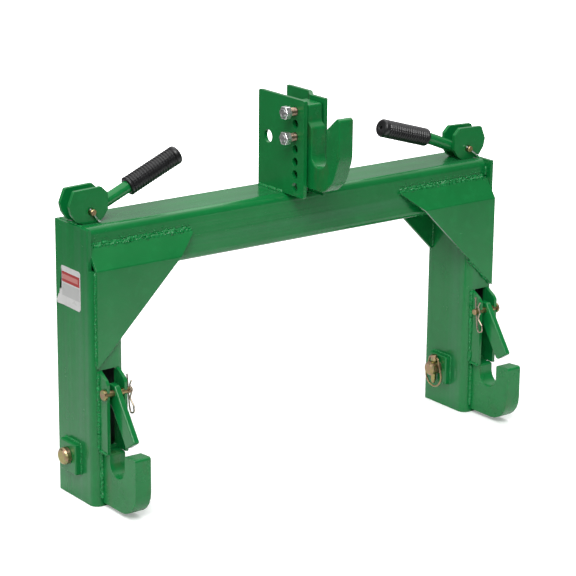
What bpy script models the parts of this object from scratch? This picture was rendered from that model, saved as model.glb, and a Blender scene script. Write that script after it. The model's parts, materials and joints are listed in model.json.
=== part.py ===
import math

import bmesh
import bpy
from mathutils import Vector

# Main sizes in metres: X along the beam, Y to the rear, Z up from the ground
LEG_SPACING = 0.686
LEG_WIDTH = 0.053
LEG_DEPTH = 0.094
LEG_WALL = 0.006
LEG_CORNER = 0.012
FRAME_HEIGHT = 0.404
BEAM_HEIGHT = 0.074
BEAM_DEPTH = 0.083
BEAM_SETBACK = 0.020
BEAM_CORNER = 0.011
FLANGE_SETBACK = 0.008
WELD_GAP = 0.0003
RUN_FIT = 0.0003
BOLT_FIT = 0.0005

# Gussets
GUSSET_THICK = 0.005
GUSSET_LIFT = 0.016
GUSSET_RISE = 0.027
GUSSET_CLEARANCE = 0.004
REAR_GUSSET = 0.076
REAR_GUSSET_THICK = 0.006
REAR_GUSSET_INSET = 0.002

# Top hook bracket
BRACKET_PLATE = 0.006
BRACKET_FRONT = -0.020
BRACKET_BACK = 0.091
BRACKET_HEIGHT = 0.144
BRACKET_LEFT = -0.022
BRACKET_GAP = 0.030
BRACKET_JOG = 0.015
HOLE_PITCH = 0.01867
HOLE_EDGE = 0.018
HOLE_FOOT = 0.012
HOLE_Y = 0.001
BOLT_RADIUS = 0.0060
BOLT_HEAD = 0.008
BOLT_FLATS = 0.018
BOLT_TAIL = 0.0445
NUT_THICK = 0.010
NUT_OFFSET = 0.012
LINK_HOLE_RADIUS = 0.00975
LINK_HOLE_Y = 0.067
LINK_HOLE_RISE = 0.0775
HOOK_THICK = 0.0254

# Lower hooks and latches
LOWER_HOOK_THICK = 0.0256
SLOT_WIDTH = 0.038
SLOT_Y = -0.0395
SLOT_FLOOR = 0.054
CHEEK_GAP = 0.024
CHEEK_THICK = 0.005
CHEEK_DEPTH = 0.0212
LATCH_THICK = 0.0095
LATCH_Y = -0.017
LATCH_RISE = 0.0885
LATCH_PIN_RADIUS = 0.00475
LATCH_EYE_RADIUS = 0.00625
CLIP_SETBACK = 0.0036
CLIP_WIRE = 0.0012
LATCH_EYE_REACH = 0.0331
LATCH_EYE_DROP = 0.0120

# Lower link pins
BOSS_THICK = 0.0100
BOSS_WIDTH = 0.042
BOSS_HEIGHT = 0.046
BOSS_DROP = 0.0025
LINK_PIN_RADIUS = 0.0111
LINK_PIN_Y = 0.0545
LINK_PIN_Z = 0.0655
LINK_PIN_TAIL = 0.0187
LINK_HEAD_RADIUS = 0.0125
LINK_HEAD_THICK = 0.0102
RING_RADIUS = 0.0185
RING_DROP = 0.0290
RING_WIRE = 0.0015

# Lever cams, pull rods and springs
CAM_THICK = 0.006
CAM_PIN_RADIUS = 0.00475
CAM_PIN_Y = 0.055
CAM_PIN_RISE = 0.0164
LEVER_RADIUS = 0.009
GRIP_RADIUS = 0.0141
GRIP_LENGTH = 0.092
GRIP_RIBS = 15
ROD_RADIUS = 0.0045
SPRING_WIRE = 0.0015
SPRING_RADIUS = 0.0085
SPRING_PITCH = 0.0083
SPRING_CLEARANCE = 0.016
CRANK_SHARE = 0.362
CRANK_RISE = 0.0415

# Finishes: colour, roughness, metallic
FINISHES = {
    "green paint": ((0.012, 0.150, 0.050), 0.32, 0.0),
    "yellow zinc": ((0.62, 0.50, 0.30), 0.34, 1.0),
    "bright zinc": ((0.66, 0.67, 0.66), 0.30, 1.0),
    "spring steel": ((0.20, 0.16, 0.13), 0.38, 1.0),
    "copper zinc": ((0.70, 0.42, 0.22), 0.35, 1.0),
    "black steel": ((0.030, 0.030, 0.032), 0.45, 0.6),
    "grip rubber": ((0.020, 0.020, 0.021), 0.55, 0.0),
}

# Positions that follow from those sizes
LEG_X = LEG_SPACING / 2
LEG_IN = LEG_X - LEG_WIDTH / 2
LEG_OUT = LEG_X + LEG_WIDTH / 2
BEAM_BOTTOM = FRAME_HEIGHT - BEAM_HEIGHT
BEAM_BACK = BEAM_SETBACK + BEAM_DEPTH
BEAM_END = LEG_OUT - LEG_WALL - WELD_GAP
HOOK_NOSE = -0.090
SHIFT = (BEAM_BACK + HOOK_NOSE) / 2
CAM_PIN_Z = FRAME_HEIGHT + CAM_PIN_RISE
CAM_INNER = LEVER_RADIUS + WELD_GAP
ROD_Y = CAM_PIN_Y
GUSSET_BEND = BEAM_BOTTOM + GUSSET_LIFT
BRACKET_TOP = FRAME_HEIGHT + BRACKET_HEIGHT
HOLE_TOP = BRACKET_TOP - HOLE_EDGE
HOLE_COUNT = int((BRACKET_HEIGHT - HOLE_EDGE - HOLE_FOOT) / HOLE_PITCH) + 1
LINK_HOLE_Z = FRAME_HEIGHT + LINK_HOLE_RISE
HOOK_HEEL = SLOT_FLOOR + 0.030
LATCH_Z = HOOK_HEEL + LATCH_RISE
LATCH_TOP = LATCH_Z + 0.0305
LATCH_EYE_Y = LATCH_Y + LATCH_EYE_REACH
LATCH_EYE_Z = LATCH_Z - LATCH_EYE_DROP
GUSSET_FOOT = GUSSET_BEND - LATCH_TOP - GUSSET_CLEARANCE
CRANK_LOW = LATCH_Z + CRANK_RISE
CRANK_HIGH = CRANK_LOW + CRANK_SHARE * (BEAM_BOTTOM - CRANK_LOW)
SPRING_LENGTH = BEAM_BOTTOM - CRANK_HIGH - SPRING_CLEARANCE
SPRING_TURNS = max(2, round(SPRING_LENGTH / SPRING_PITCH))


def clear_scene():
    for item in list(bpy.data.objects):
        bpy.data.objects.remove(item, do_unlink=True)


# Each piece gets a material of its own, made from its finish
def paint(piece, finish_name):
    colour, roughness, metallic = FINISHES[finish_name]
    material = bpy.data.materials.new(f"{piece} {finish_name}")
    material.use_nodes = True
    shader = material.node_tree.nodes["Principled BSDF"]
    shader.inputs["Base Color"].default_value = (*colour, 1.0)
    shader.inputs["Roughness"].default_value = roughness
    shader.inputs["Metallic"].default_value = metallic
    material.diffuse_color = (*colour, 1.0)
    return material


# Round every corner of a path that carries a radius, in two or three dimensions
def soften(path, size, closed, step=15.0):
    corners = [Vector(item[:size]) for item in path]
    radii = [item[size] if len(item) > size else 0.0 for item in path]
    count = len(path)
    result = []
    for index, corner in enumerate(corners):
        radius = radii[index]
        end = not closed and index in (0, count - 1)
        if radius == 0.0 or end:
            result.append(corner)
            continue
        back = (corners[index - 1] - corner).normalized()
        ahead = (corners[(index + 1) % count] - corner).normalized()
        inside = back.angle(ahead)
        reach = radius / math.tan(inside / 2)
        centre = corner + (back + ahead).normalized() * radius / math.sin(inside / 2)
        first = (corner + back * reach - centre).normalized()
        last = (corner + ahead * reach - centre).normalized()
        steps = max(1, round(math.degrees(math.pi - inside) / step))
        for part in range(steps + 1):
            result.append(centre + first.slerp(last, part / steps) * radius)
    kept = []
    for point in result:
        if not kept or (point - kept[-1]).length > 1e-6:
            kept.append(point)
    if closed and (kept[0] - kept[-1]).length < 1e-6:
        kept.pop()
    return kept


def finish(shape, name, smooth=True):
    bmesh.ops.recalc_face_normals(shape, faces=shape.faces)
    mesh = bpy.data.meshes.new(name)
    shape.to_mesh(mesh)
    shape.free()
    if smooth:
        mesh.shade_smooth()
        mesh.set_sharp_from_angle(angle=math.radians(32))
    return mesh


def place(mesh, name, finish_name, origin=(0.0, 0.0, 0.0)):
    item = bpy.data.objects.new(name, mesh)
    bpy.context.scene.collection.objects.link(item)
    mesh.materials.append(paint(name, finish_name))
    if any(origin):
        for vertex in mesh.vertices:
            vertex.co -= Vector(origin)
    item.location = origin
    item.parent = bpy.data.objects["hitch_frame"]
    return item


def cutter(mesh, name):
    item = bpy.data.objects.new(name, mesh)
    bpy.context.scene.collection.objects.link(item)
    item.hide_render = True
    item.display_type = "WIRE"
    item.parent = bpy.data.objects["hitch_frame"]
    return item


def combine(item, tool, operation="DIFFERENCE"):
    modifier = item.modifiers.new(tool.name, "BOOLEAN")
    modifier.operation = operation
    modifier.solver = "EXACT"
    modifier.object = tool


def soft_edges(item, width, segments=1):
    modifier = item.modifiers.new("soft edges", "BEVEL")
    modifier.width = width
    modifier.segments = segments
    modifier.limit_method = "ANGLE"
    modifier.angle_limit = math.radians(40)


# A flat outline pushed straight along one axis
def slab(name, axis, outline, low, high):
    shape = bmesh.new()
    order = {"X": (2, 0, 1), "Y": (0, 2, 1), "Z": (0, 1, 2)}[axis]
    corners = []
    for point in soften(outline, 2, True):
        flat = (point[0], point[1], low)
        corners.append(shape.verts.new([flat[item] for item in order]))
    face = shape.faces.new(corners)
    grown = bmesh.ops.extrude_face_region(shape, geom=[face])
    step = [0.0, 0.0, 0.0]
    step["XYZ".index(axis)] = high - low
    moved = [item for item in grown["geom"] if isinstance(item, bmesh.types.BMVert)]
    bmesh.ops.translate(shape, vec=step, verts=moved)
    return finish(shape, name)


# A closed half section turned once round an axis through a centre
def turned(name, axis, section, centre, sides=24):
    shape = bmesh.new()
    along = Vector([float(axis == item) for item in "XYZ"])
    out = Vector((0.0, 0.0, 1.0)) if axis != "Z" else Vector((1.0, 0.0, 0.0))
    corners = []
    for radius, height in section:
        corners.append(shape.verts.new(Vector(centre) + out * radius + along * height))
    edges = []
    for index, corner in enumerate(corners):
        edges.append(shape.edges.new((corner, corners[(index + 1) % len(corners)])))
    bmesh.ops.spin(
        shape,
        geom=corners + edges,
        cent=centre,
        axis=along,
        angle=math.tau,
        steps=sides,
        use_merge=True,
    )
    bmesh.ops.remove_doubles(shape, verts=shape.verts, dist=1e-6)
    bmesh.ops.dissolve_degenerate(shape, edges=shape.edges, dist=1e-7)
    loose = [item for item in shape.edges if not item.link_faces]
    bmesh.ops.delete(shape, geom=loose, context="EDGES")
    return finish(shape, name)


def round_bar(name, axis, centre, radius, low, high, sides=24, chamfer=0.0):
    section = [(0.0, low), (radius - chamfer, low)]
    if chamfer:
        section.append((radius, low + chamfer))
        section.append((radius, high - chamfer))
    else:
        section.append((radius, high))
    section += [(radius - chamfer, high), (0.0, high)] if chamfer else [(0.0, high)]
    return turned(name, axis, section, centre, sides)


def wire(name, path, radius, sides=12, step=15.0, closed=False):
    points = soften(path, 3, closed, step)
    curve = bpy.data.curves.new(name + " path", "CURVE")
    curve.dimensions = "3D"
    curve.bevel_depth = radius
    curve.bevel_resolution = sides // 2 - 2
    curve.use_fill_caps = not closed
    line = curve.splines.new("POLY")
    line.points.add(len(points) - 1)
    for slot, point in zip(line.points, points):
        slot.co = (*point, 1.0)
    line.use_cyclic_u = closed
    guide = bpy.data.objects.new(name + " path", curve)
    bpy.context.scene.collection.objects.link(guide)
    graph = bpy.context.evaluated_depsgraph_get()
    graph.update()
    mesh = bpy.data.meshes.new_from_object(guide.evaluated_get(graph))
    bpy.data.objects.remove(guide, do_unlink=True)
    shape = bmesh.new()
    shape.from_mesh(mesh)
    bmesh.ops.remove_doubles(shape, verts=shape.verts, dist=1e-6)
    return finish(shape, name)


def hexagon(name, centre_y, centre_z, flats, low, high):
    points = []
    for index in range(6):
        turn = math.radians(60 * index)
        reach = flats / math.sqrt(3)
        points.append((centre_y + reach * math.cos(turn), centre_z + reach * math.sin(turn)))
    return slab(name, "X", points, low, high)


# Flip a local outline that runs outwards from the leg centre onto its own side
def across(side, outline):
    return [(side * (LEG_X + item[0]), *item[1:]) for item in outline]


def span(side, inner, outer):
    ends = sorted((side * (LEG_X + inner), side * (LEG_X + outer)))
    return ends[0], ends[1]


# Cross beam
def make_beam(finish_name):
    half = BEAM_CORNER
    outer = [
        (BEAM_SETBACK, BEAM_BOTTOM, half),
        (BEAM_BACK, BEAM_BOTTOM, half),
        (BEAM_BACK, FRAME_HEIGHT, half),
        (BEAM_SETBACK, FRAME_HEIGHT, half),
    ]
    item = place(slab("beam_tube", "X", outer, -BEAM_END, BEAM_END), "beam_tube", finish_name)
    wall = LEG_WALL
    inner = [
        (BEAM_SETBACK + wall, BEAM_BOTTOM + wall, half - wall),
        (BEAM_BACK - wall, BEAM_BOTTOM + wall, half - wall),
        (BEAM_BACK - wall, FRAME_HEIGHT - wall, half - wall),
        (BEAM_SETBACK + wall, FRAME_HEIGHT - wall, half - wall),
    ]
    bore = slab("beam bore", "X", inner, -2 * BEAM_END, 2 * BEAM_END)
    combine(item, cutter(bore, "beam bore"))
    for side in (-1, 1):
        centre = (side * LEG_X, ROD_Y, 0.0)
        low = BEAM_BOTTOM - wall
        high = FRAME_HEIGHT + wall
        radius = ROD_RADIUS + 2 * BOLT_FIT
        tool = round_bar("rod passage", "Z", centre, radius, low, high)
        combine(item, cutter(tool, f"rod passage {side}"))
    return item


# Legs: folded channels, open to the rear, with the beam let in at the top
def make_leg(side, name, finish_name):
    half = LEG_WIDTH / 2
    wall = LEG_WALL
    round_out = LEG_CORNER
    section = [
        (-half, 0.0, round_out),
        (half, 0.0, round_out),
        (half, LEG_DEPTH),
        (half - wall, LEG_DEPTH),
        (half - wall, wall, round_out - wall),
        (wall - half, wall, round_out - wall),
        (wall - half, LEG_DEPTH),
        (-half, LEG_DEPTH),
    ]
    mesh = slab(name, "Z", across(side, section), 0.0, FRAME_HEIGHT)
    item = place(mesh, name, finish_name)
    ledge = BEAM_BOTTOM - WELD_GAP
    front = FLANGE_SETBACK
    seat = [
        (-0.01, GUSSET_BEND),
        (BEAM_SETBACK - WELD_GAP, GUSSET_BEND),
        (BEAM_SETBACK - WELD_GAP, ledge),
        (2 * LEG_DEPTH, ledge),
        (2 * LEG_DEPTH, 2 * FRAME_HEIGHT),
        (-0.01, 2 * FRAME_HEIGHT),
    ]
    tool = slab("beam seat", "X", seat, *span(side, -2 * half, half - wall))
    combine(item, cutter(tool, f"beam seat {side}"))
    nose = [
        (-0.01, GUSSET_BEND),
        (front, GUSSET_BEND),
        (front, 2 * FRAME_HEIGHT),
        (-0.01, 2 * FRAME_HEIGHT),
    ]
    tool = slab("flange nose", "X", nose, *span(side, -2 * half, 2 * half))
    combine(item, cutter(tool, f"flange nose {side}"))
    gap = CHEEK_GAP / 2
    window = [
        (gap, HOOK_HEEL + 0.004, 0.003),
        (gap, LATCH_TOP, 0.003),
        (-gap, LATCH_TOP, 0.003),
        (-gap, HOOK_HEEL + 0.004, 0.003),
    ]
    tool = slab("latch window", "Y", across(side, window), -0.01, 2 * wall)
    combine(item, cutter(tool, f"latch window {side}"))
    centre = (side * LEG_X, LINK_PIN_Y, LINK_PIN_Z)
    radius = LINK_PIN_RADIUS + BOLT_FIT
    tool = round_bar("pin hole", "X", centre, radius, -LEG_WIDTH, LEG_WIDTH)
    combine(item, cutter(tool, f"leg pin hole {side}"))
    return item


# Front gussets: lie on the leg, then lean back to the beam along a fold
def make_front_gusset(side, name, finish_name):
    back = -WELD_GAP
    depth = BEAM_SETBACK - WELD_GAP - back
    slope = math.hypot(depth, GUSSET_RISE)
    lean = math.atan2(depth, GUSSET_RISE)
    normal_y = -math.cos(lean) * GUSSET_THICK
    normal_z = math.sin(lean) * GUSSET_THICK
    bottom = GUSSET_BEND - GUSSET_FOOT
    fold = math.tan(lean / 2) * GUSSET_THICK
    top = GUSSET_BEND + GUSSET_RISE
    strip = [
        (back, bottom - 0.02),
        (back, GUSSET_BEND),
        (back + depth, top),
        (back + depth + normal_y, top + normal_z),
        (back - GUSSET_THICK, GUSSET_BEND + fold, 0.004),
        (back - GUSSET_THICK, bottom - 0.02),
    ]
    edge = LEG_WIDTH / 2 - LEG_WALL
    tip = edge - GUSSET_FOOT
    item = place(
        slab(name, "X", strip, *span(side, tip - slope - 0.02, edge)), name, finish_name
    )
    outline = [
        (edge + 0.01, bottom - 0.01),
        (edge, bottom),
        (tip, GUSSET_BEND),
        (tip - slope, top),
        (tip - slope, top + 0.02),
        (edge + 0.01, top + 0.02),
    ]
    tool = slab("gusset outline", "Y", across(side, outline), -0.05, 0.05)
    combine(item, cutter(tool, f"gusset outline {side}"), "INTERSECT")
    return item


# Rear gussets: flat triangles in the corner under the beam
def make_rear_gusset(side, name, finish_name):
    inner = -LEG_WIDTH / 2 - WELD_GAP
    top = BEAM_BOTTOM - WELD_GAP
    outline = [
        (inner, top),
        (inner - REAR_GUSSET, top),
        (inner - REAR_GUSSET, top - 0.003),
        (inner - 0.003, top - REAR_GUSSET),
        (inner, top - REAR_GUSSET),
    ]
    back = LEG_DEPTH - REAR_GUSSET_INSET
    low = back - REAR_GUSSET_THICK
    return place(slab(name, "Y", across(side, outline), low, back), name, finish_name)


# Bracket plates that hold the top hook, the right one jogged outwards at the rear
def bracket_holes(item, side):
    bars = [(HOLE_Y, HOLE_TOP - index * HOLE_PITCH) for index in range(HOLE_COUNT)]
    shape = bmesh.new()
    for y, z in bars:
        radius = BOLT_RADIUS + BOLT_FIT
        shape.from_mesh(round_bar("hook hole", "X", (0.0, y, z), radius, -0.06, 0.06, 16))
    centre = (0.0, LINK_HOLE_Y, LINK_HOLE_Z)
    shape.from_mesh(round_bar("link hole", "X", centre, LINK_HOLE_RADIUS, -0.06, 0.06))
    combine(item, cutter(finish(shape, "bracket holes"), f"bracket holes {side}"))


def make_left_bracket(finish_name):
    low = FRAME_HEIGHT + WELD_GAP
    outline = [
        (BRACKET_FRONT, low, 0.002),
        (BRACKET_BACK, low, 0.002),
        (BRACKET_BACK, BRACKET_TOP, 0.003),
        (BRACKET_FRONT, BRACKET_TOP, 0.003),
    ]
    inner = BRACKET_LEFT + BRACKET_PLATE
    mesh = slab("bracket_plate_left", "X", outline, BRACKET_LEFT, inner)
    item = place(mesh, "bracket_plate_left", finish_name)
    bracket_holes(item, "left")
    return item


def make_right_bracket(finish_name):
    inner = BRACKET_LEFT + BRACKET_PLATE + BRACKET_GAP
    outer = inner + BRACKET_PLATE
    start = HOLE_Y + BOLT_FLATS / math.sqrt(3) + 0.003
    turn = 0.036
    section = [
        (outer, BRACKET_FRONT),
        (outer, start, 0.005),
        (outer + BRACKET_JOG, turn, 0.010),
        (outer + BRACKET_JOG, BRACKET_BACK),
        (inner + BRACKET_JOG, BRACKET_BACK),
        (inner + BRACKET_JOG, turn + 0.0015, 0.005),
        (inner, start + 0.0015, 0.010),
        (inner, BRACKET_FRONT),
    ]
    low = FRAME_HEIGHT + WELD_GAP
    mesh = slab("bracket_plate_right", "Z", section, low, BRACKET_TOP)
    item = place(mesh, "bracket_plate_right", finish_name)
    bracket_holes(item, "right")
    return item


# Top hook, bolted through the first and third holes
def make_top_hook(finish_name):
    throat_back = -0.026
    throat_front = -0.060
    throat_floor = -0.077
    outline = [
        (0.022, -0.111, 0.006),
        (0.022, 0.0116, 0.003),
        (-0.0173, 0.0116, 0.004),
        (-0.0173, -0.014, 0.006),
        (throat_back, -0.021, 0.006),
        (throat_back, throat_floor, 0.0169),
        (throat_front, throat_floor, 0.0169),
        (throat_front, -0.0165, 0.004),
        (-0.0838, 0.0035, 0.004),
        (HOOK_NOSE, 0.0005, 0.004),
        (HOOK_NOSE, -0.058, 0.030),
        (-0.0765, -0.0935, 0.030),
        (-0.0546, -0.1112, 0.020),
        (-0.045, -0.111),
    ]
    outline = [(item[0], item[1] + HOLE_TOP, *item[2:]) for item in outline]
    middle = BRACKET_LEFT + BRACKET_PLATE + BRACKET_GAP / 2 + 0.0012
    low = middle - HOOK_THICK / 2
    mesh = slab("top_hook", "X", outline, low, low + HOOK_THICK)
    item = place(mesh, "top_hook", finish_name)
    soft_edges(item, 0.0012)
    for index in (0, 2):
        centre = (0.0, HOLE_Y, HOLE_TOP - index * HOLE_PITCH)
        radius = BOLT_RADIUS + BOLT_FIT
        tool = round_bar("bolt hole", "X", centre, radius, -0.06, 0.06, 16)
        combine(item, cutter(tool, f"bolt hole {index}"))
    return item


def make_hook_bolt(name, index, finish_name):
    height = HOLE_TOP - index * HOLE_PITCH
    face = BRACKET_LEFT + 2 * BRACKET_PLATE + BRACKET_GAP + WELD_GAP
    head = hexagon(name, HOLE_Y, height, BOLT_FLATS, face, face + BOLT_HEAD)
    item = place(head, name, finish_name)
    soft_edges(item, 0.0008)
    centre = (0.0, HOLE_Y, height)
    middle = face + BOLT_HEAD / 2
    bar = round_bar("shank", "X", centre, BOLT_RADIUS, -BOLT_TAIL, middle, 20, 0.001)
    combine(item, cutter(bar, name + " shank"), "UNION")
    return item


def make_hook_nut(name, index, finish_name):
    height = HOLE_TOP - index * HOLE_PITCH
    far = BRACKET_LEFT - NUT_OFFSET
    mesh = hexagon(name, HOLE_Y, height, BOLT_FLATS, far - NUT_THICK, far)
    item = place(mesh, name, finish_name)
    soft_edges(item, 0.0008)
    centre = (0.0, HOLE_Y, height)
    radius = BOLT_RADIUS + RUN_FIT
    bore = round_bar("nut bore", "X", centre, radius, -0.08, 0.0, 20)
    combine(item, cutter(bore, name + " bore"))
    return item


# Lower hooks
def make_lower_hook(side, name, finish_name):
    reach = SLOT_WIDTH / 2
    back = -WELD_GAP
    outline = [
        (back, 0.006, 0.004),
        (-0.0865, 0.006, 0.038),
        (-0.0865, SLOT_FLOOR + 0.0420, 0.004),
        (SLOT_Y - reach, SLOT_FLOOR + 0.0396, 0.003),
        (SLOT_Y - reach, SLOT_FLOOR, reach * 0.999),
        (SLOT_Y + reach, SLOT_FLOOR, reach * 0.999),
        (SLOT_Y + reach, HOOK_HEEL, 0.003),
        (back, HOOK_HEEL),
    ]
    half = LOWER_HOOK_THICK / 2
    item = place(slab(name, "X", outline, *span(side, -half, half)), name, finish_name)
    soft_edges(item, 0.0014)
    return item


# Cheek plates that carry the latch above the hook
def make_cheek(side, outward, name, finish_name):
    back = -WELD_GAP
    front = back - CHEEK_DEPTH
    outline = [
        (back, HOOK_HEEL + 0.0005),
        (back, LATCH_TOP),
        (front + 0.004, LATCH_Z + 0.0205, 0.004),
        (front, LATCH_Z + 0.0150, 0.003),
        (front, HOOK_HEEL + 0.0005),
    ]
    near = CHEEK_GAP / 2
    far = near + CHEEK_THICK
    ends = (near, far) if outward > 0 else (-far, -near)
    item = place(slab(name, "X", outline, *span(side, *ends)), name, finish_name)
    centre = (side * LEG_X, LATCH_Y, LATCH_Z)
    radius = LATCH_PIN_RADIUS + BOLT_FIT
    tool = round_bar("pivot hole", "X", centre, radius, -0.03, 0.03, 20)
    combine(item, cutter(tool, name + " hole"))
    return item


def make_latch(side, name, finish_name):
    outline = [
        (-0.0045, 0.0120, 0.006),
        (0.0110, 0.0120, 0.006),
        (0.0190, 0.0015, 0.006),
        (0.0470, -0.0005, 0.004),
        (0.0460, -0.0165, 0.005),
        (0.0390, -0.0235, 0.005),
        (0.0270, -0.0225, 0.008),
        (0.0070, -0.0165, 0.010),
        (-0.0310, -0.0715, 0.003),
        (-0.0360, -0.0715, 0.004),
        (-0.0545, -0.0590, 0.003),
    ]
    outline = [(LATCH_Y + item[0], LATCH_Z + item[1], item[2]) for item in outline]
    half = LATCH_THICK / 2
    pivot = (side * LEG_X, LATCH_Y, LATCH_Z)
    mesh = slab(name, "X", outline, *span(side, -half, half))
    item = place(mesh, name, finish_name, pivot)
    soft_edges(item, 0.0012)
    radius = LATCH_PIN_RADIUS + RUN_FIT
    tool = round_bar("pivot bore", "X", pivot, radius, -0.02, 0.02, 20)
    combine(item, cutter(tool, name + " bore"))
    centre = (side * LEG_X, LATCH_EYE_Y, LATCH_EYE_Z)
    tool = round_bar("rod eye", "X", centre, LATCH_EYE_RADIUS, -0.02, 0.02, 20)
    combine(item, cutter(tool, name + " eye"))
    return item


def make_latch_pin(side, name, finish_name):
    outer = CHEEK_GAP / 2 + CHEEK_THICK + WELD_GAP
    tail = outer + 0.0090
    radius = LATCH_PIN_RADIUS
    section = [
        (0.0, -tail * side),
        (radius - 0.001, -tail * side),
        (radius, (0.001 - tail) * side),
        (radius, outer * side),
        (0.0078, outer * side),
        (0.0080, (outer + 0.0006) * side),
        (0.0080, (outer + 0.0030) * side),
        (0.0068, (outer + 0.0040) * side),
        (0.0, (outer + 0.0040) * side),
    ]
    centre = (side * LEG_X, LATCH_Y, LATCH_Z)
    item = place(turned(name, "X", section, centre, 20), name, finish_name)
    clip_x = side * (LEG_X - outer - CLIP_SETBACK)
    hole = round_bar("clip hole", "Z", (clip_x, LATCH_Y, LATCH_Z), 0.0020, -0.01, 0.01, 12)
    combine(item, cutter(hole, name + " clip hole"))
    return item


# Spring clip: one straight leg through the pin, one waved leg over it
def make_latch_clip(side, name, finish_name):
    outer = CHEEK_GAP / 2 + CHEEK_THICK + WELD_GAP
    x = side * (LEG_X - outer - CLIP_SETBACK)
    path = [
        (0.0028, 0.0230),
        (-0.0028, -0.0230, 0.005),
        (-0.0060, -0.0330, 0.0035),
        (-0.0150, -0.0290, 0.004),
        (-0.0140, -0.0200, 0.005),
        (-0.0042, -0.0105, 0.004),
        (-0.0090, -0.0004, 0.005),
        (-0.0038, 0.0086, 0.003),
        (-0.0082, 0.0160),
    ]
    points = [(x, LATCH_Y + item[0], LATCH_Z + item[1], *item[2:]) for item in path]
    return place(wire(name, points, CLIP_WIRE, 6, 20.0), name, finish_name)


# Lower link pins, bosses and their linch pins
def make_boss(side, outward, name, finish_name):
    y = BOSS_WIDTH / 2
    low = LINK_PIN_Z - BOSS_DROP - BOSS_HEIGHT / 2
    high = low + BOSS_HEIGHT
    outline = [
        (LINK_PIN_Y - y, low, 0.002),
        (LINK_PIN_Y + y, low, 0.002),
        (LINK_PIN_Y + y, high, 0.002),
        (LINK_PIN_Y - y, high, 0.002),
    ]
    near = LEG_WIDTH / 2 + WELD_GAP
    far = near + BOSS_THICK
    ends = (near, far) if outward > 0 else (-far, -near)
    item = place(slab(name, "X", outline, *span(side, *ends)), name, finish_name)
    soft_edges(item, 0.0015)
    centre = (side * LEG_X, LINK_PIN_Y, LINK_PIN_Z)
    radius = LINK_PIN_RADIUS + RUN_FIT
    tool = round_bar("boss bore", "X", centre, radius, -0.06, 0.06, 20)
    combine(item, cutter(tool, name + " bore"))
    return item


def pin_face():
    return LEG_WIDTH / 2 + BOSS_THICK + 2 * WELD_GAP


def make_link_pin(side, name, finish_name):
    head = pin_face()
    tail = head + LINK_PIN_TAIL
    radius = LINK_PIN_RADIUS
    wide = LINK_HEAD_RADIUS
    end = head + LINK_HEAD_THICK
    section = [
        (0.0, -tail * side),
        (radius - 0.003, -tail * side),
        (radius, (0.003 - tail) * side),
        (radius, head * side),
        (wide - 0.0004, head * side),
        (wide, (head + 0.0006) * side),
        (wide, (end - 0.0040) * side),
        (wide - 0.0012, (end - 0.0012) * side),
        (wide - 0.0032, end * side),
        (0.0, end * side),
    ]
    centre = (side * LEG_X, LINK_PIN_Y, LINK_PIN_Z)
    item = place(turned(name, "X", section, centre, 20), name, finish_name)
    hole_x = side * (LEG_X - head - 0.0065)
    centre = (hole_x, LINK_PIN_Y, LINK_PIN_Z)
    tool = round_bar("linch hole", "Z", centre, 0.0040 + BOLT_FIT, -0.03, 0.03, 12)
    combine(item, cutter(tool, name + " linch hole"))
    return item


def linch_centre(side):
    return side * (LEG_X - pin_face() - 0.0065)


def make_linch_pin(side, name, finish_name):
    x = linch_centre(side)
    rest = LINK_PIN_RADIUS + WELD_GAP
    section = [
        (0.0, -rest - 0.014),
        (0.0026, -rest - 0.014),
        (0.0040, -rest - 0.009),
        (0.0040, rest),
        (0.0050, rest),
        (0.0052, rest + 0.0005),
        (0.0052, rest + 0.0088),
        (0.0042, rest + 0.0098),
        (0.0, rest + 0.0098),
    ]
    centre = (x, LINK_PIN_Y, LINK_PIN_Z)
    item = place(turned(name, "Z", section, centre, 14), name, finish_name)
    centre = (x, LINK_PIN_Y, LINK_PIN_Z + rest + 0.005)
    radius = RING_WIRE + RUN_FIT
    tool = round_bar("ring bore", "Y", centre, radius, -0.02, 0.02, 16)
    combine(item, cutter(tool, name + " ring bore"))
    return item


def make_linch_ring(side, name, finish_name):
    x = linch_centre(side)
    hinge = LINK_PIN_Z + LINK_PIN_RADIUS + WELD_GAP + 0.005
    middle = hinge - RING_DROP
    path = [(x, LINK_PIN_Y + 0.0012, hinge), (x, LINK_PIN_Y + 0.0098, hinge, 0.003)]
    for index in range(15):
        turn = math.radians(20 - index * 220 / 14)
        y = LINK_PIN_Y + RING_RADIUS * math.cos(turn)
        path.append((x, y, middle + RING_RADIUS * math.sin(turn)))
    path.append((x, LINK_PIN_Y - 0.0098, hinge, 0.003))
    path.append((x, LINK_PIN_Y - 0.0012, hinge))
    mesh = wire(name, path, RING_WIRE, 6, 30.0)
    return place(mesh, name, finish_name, (x, LINK_PIN_Y, hinge))


# Locking cams with their pin and lever
def make_cam_plate(side, rear, name, finish_name):
    drop = WELD_GAP - CAM_PIN_RISE
    outline = [
        (-0.013, drop),
        (0.012, drop),
        (0.023, -0.013, 0.004),
        (0.0320, -0.001, 0.006),
        (0.0352, 0.012, 0.006),
        (0.027, 0.032, 0.003),
        (-0.017, 0.0335, 0.003),
        (-0.0275, 0.0235, 0.003),
        (-0.0275, 0.000, 0.003),
        (-0.020, -0.011, 0.003),
    ]
    shifted = [(item[0], item[1] + CAM_PIN_Z, *item[2:]) for item in outline]
    if rear:
        low = CAM_PIN_Y + CAM_INNER
    else:
        low = CAM_PIN_Y - CAM_INNER - CAM_THICK
    pivot = (side * LEG_X, CAM_PIN_Y, CAM_PIN_Z)
    mesh = slab(name, "Y", across(side, shifted), low, low + CAM_THICK)
    item = place(mesh, name, finish_name, pivot)
    radius = CAM_PIN_RADIUS + RUN_FIT
    tool = round_bar("cam bore", "Y", pivot, radius, -0.05, 0.05, 20)
    combine(item, cutter(tool, name + " bore"))
    return item


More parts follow.
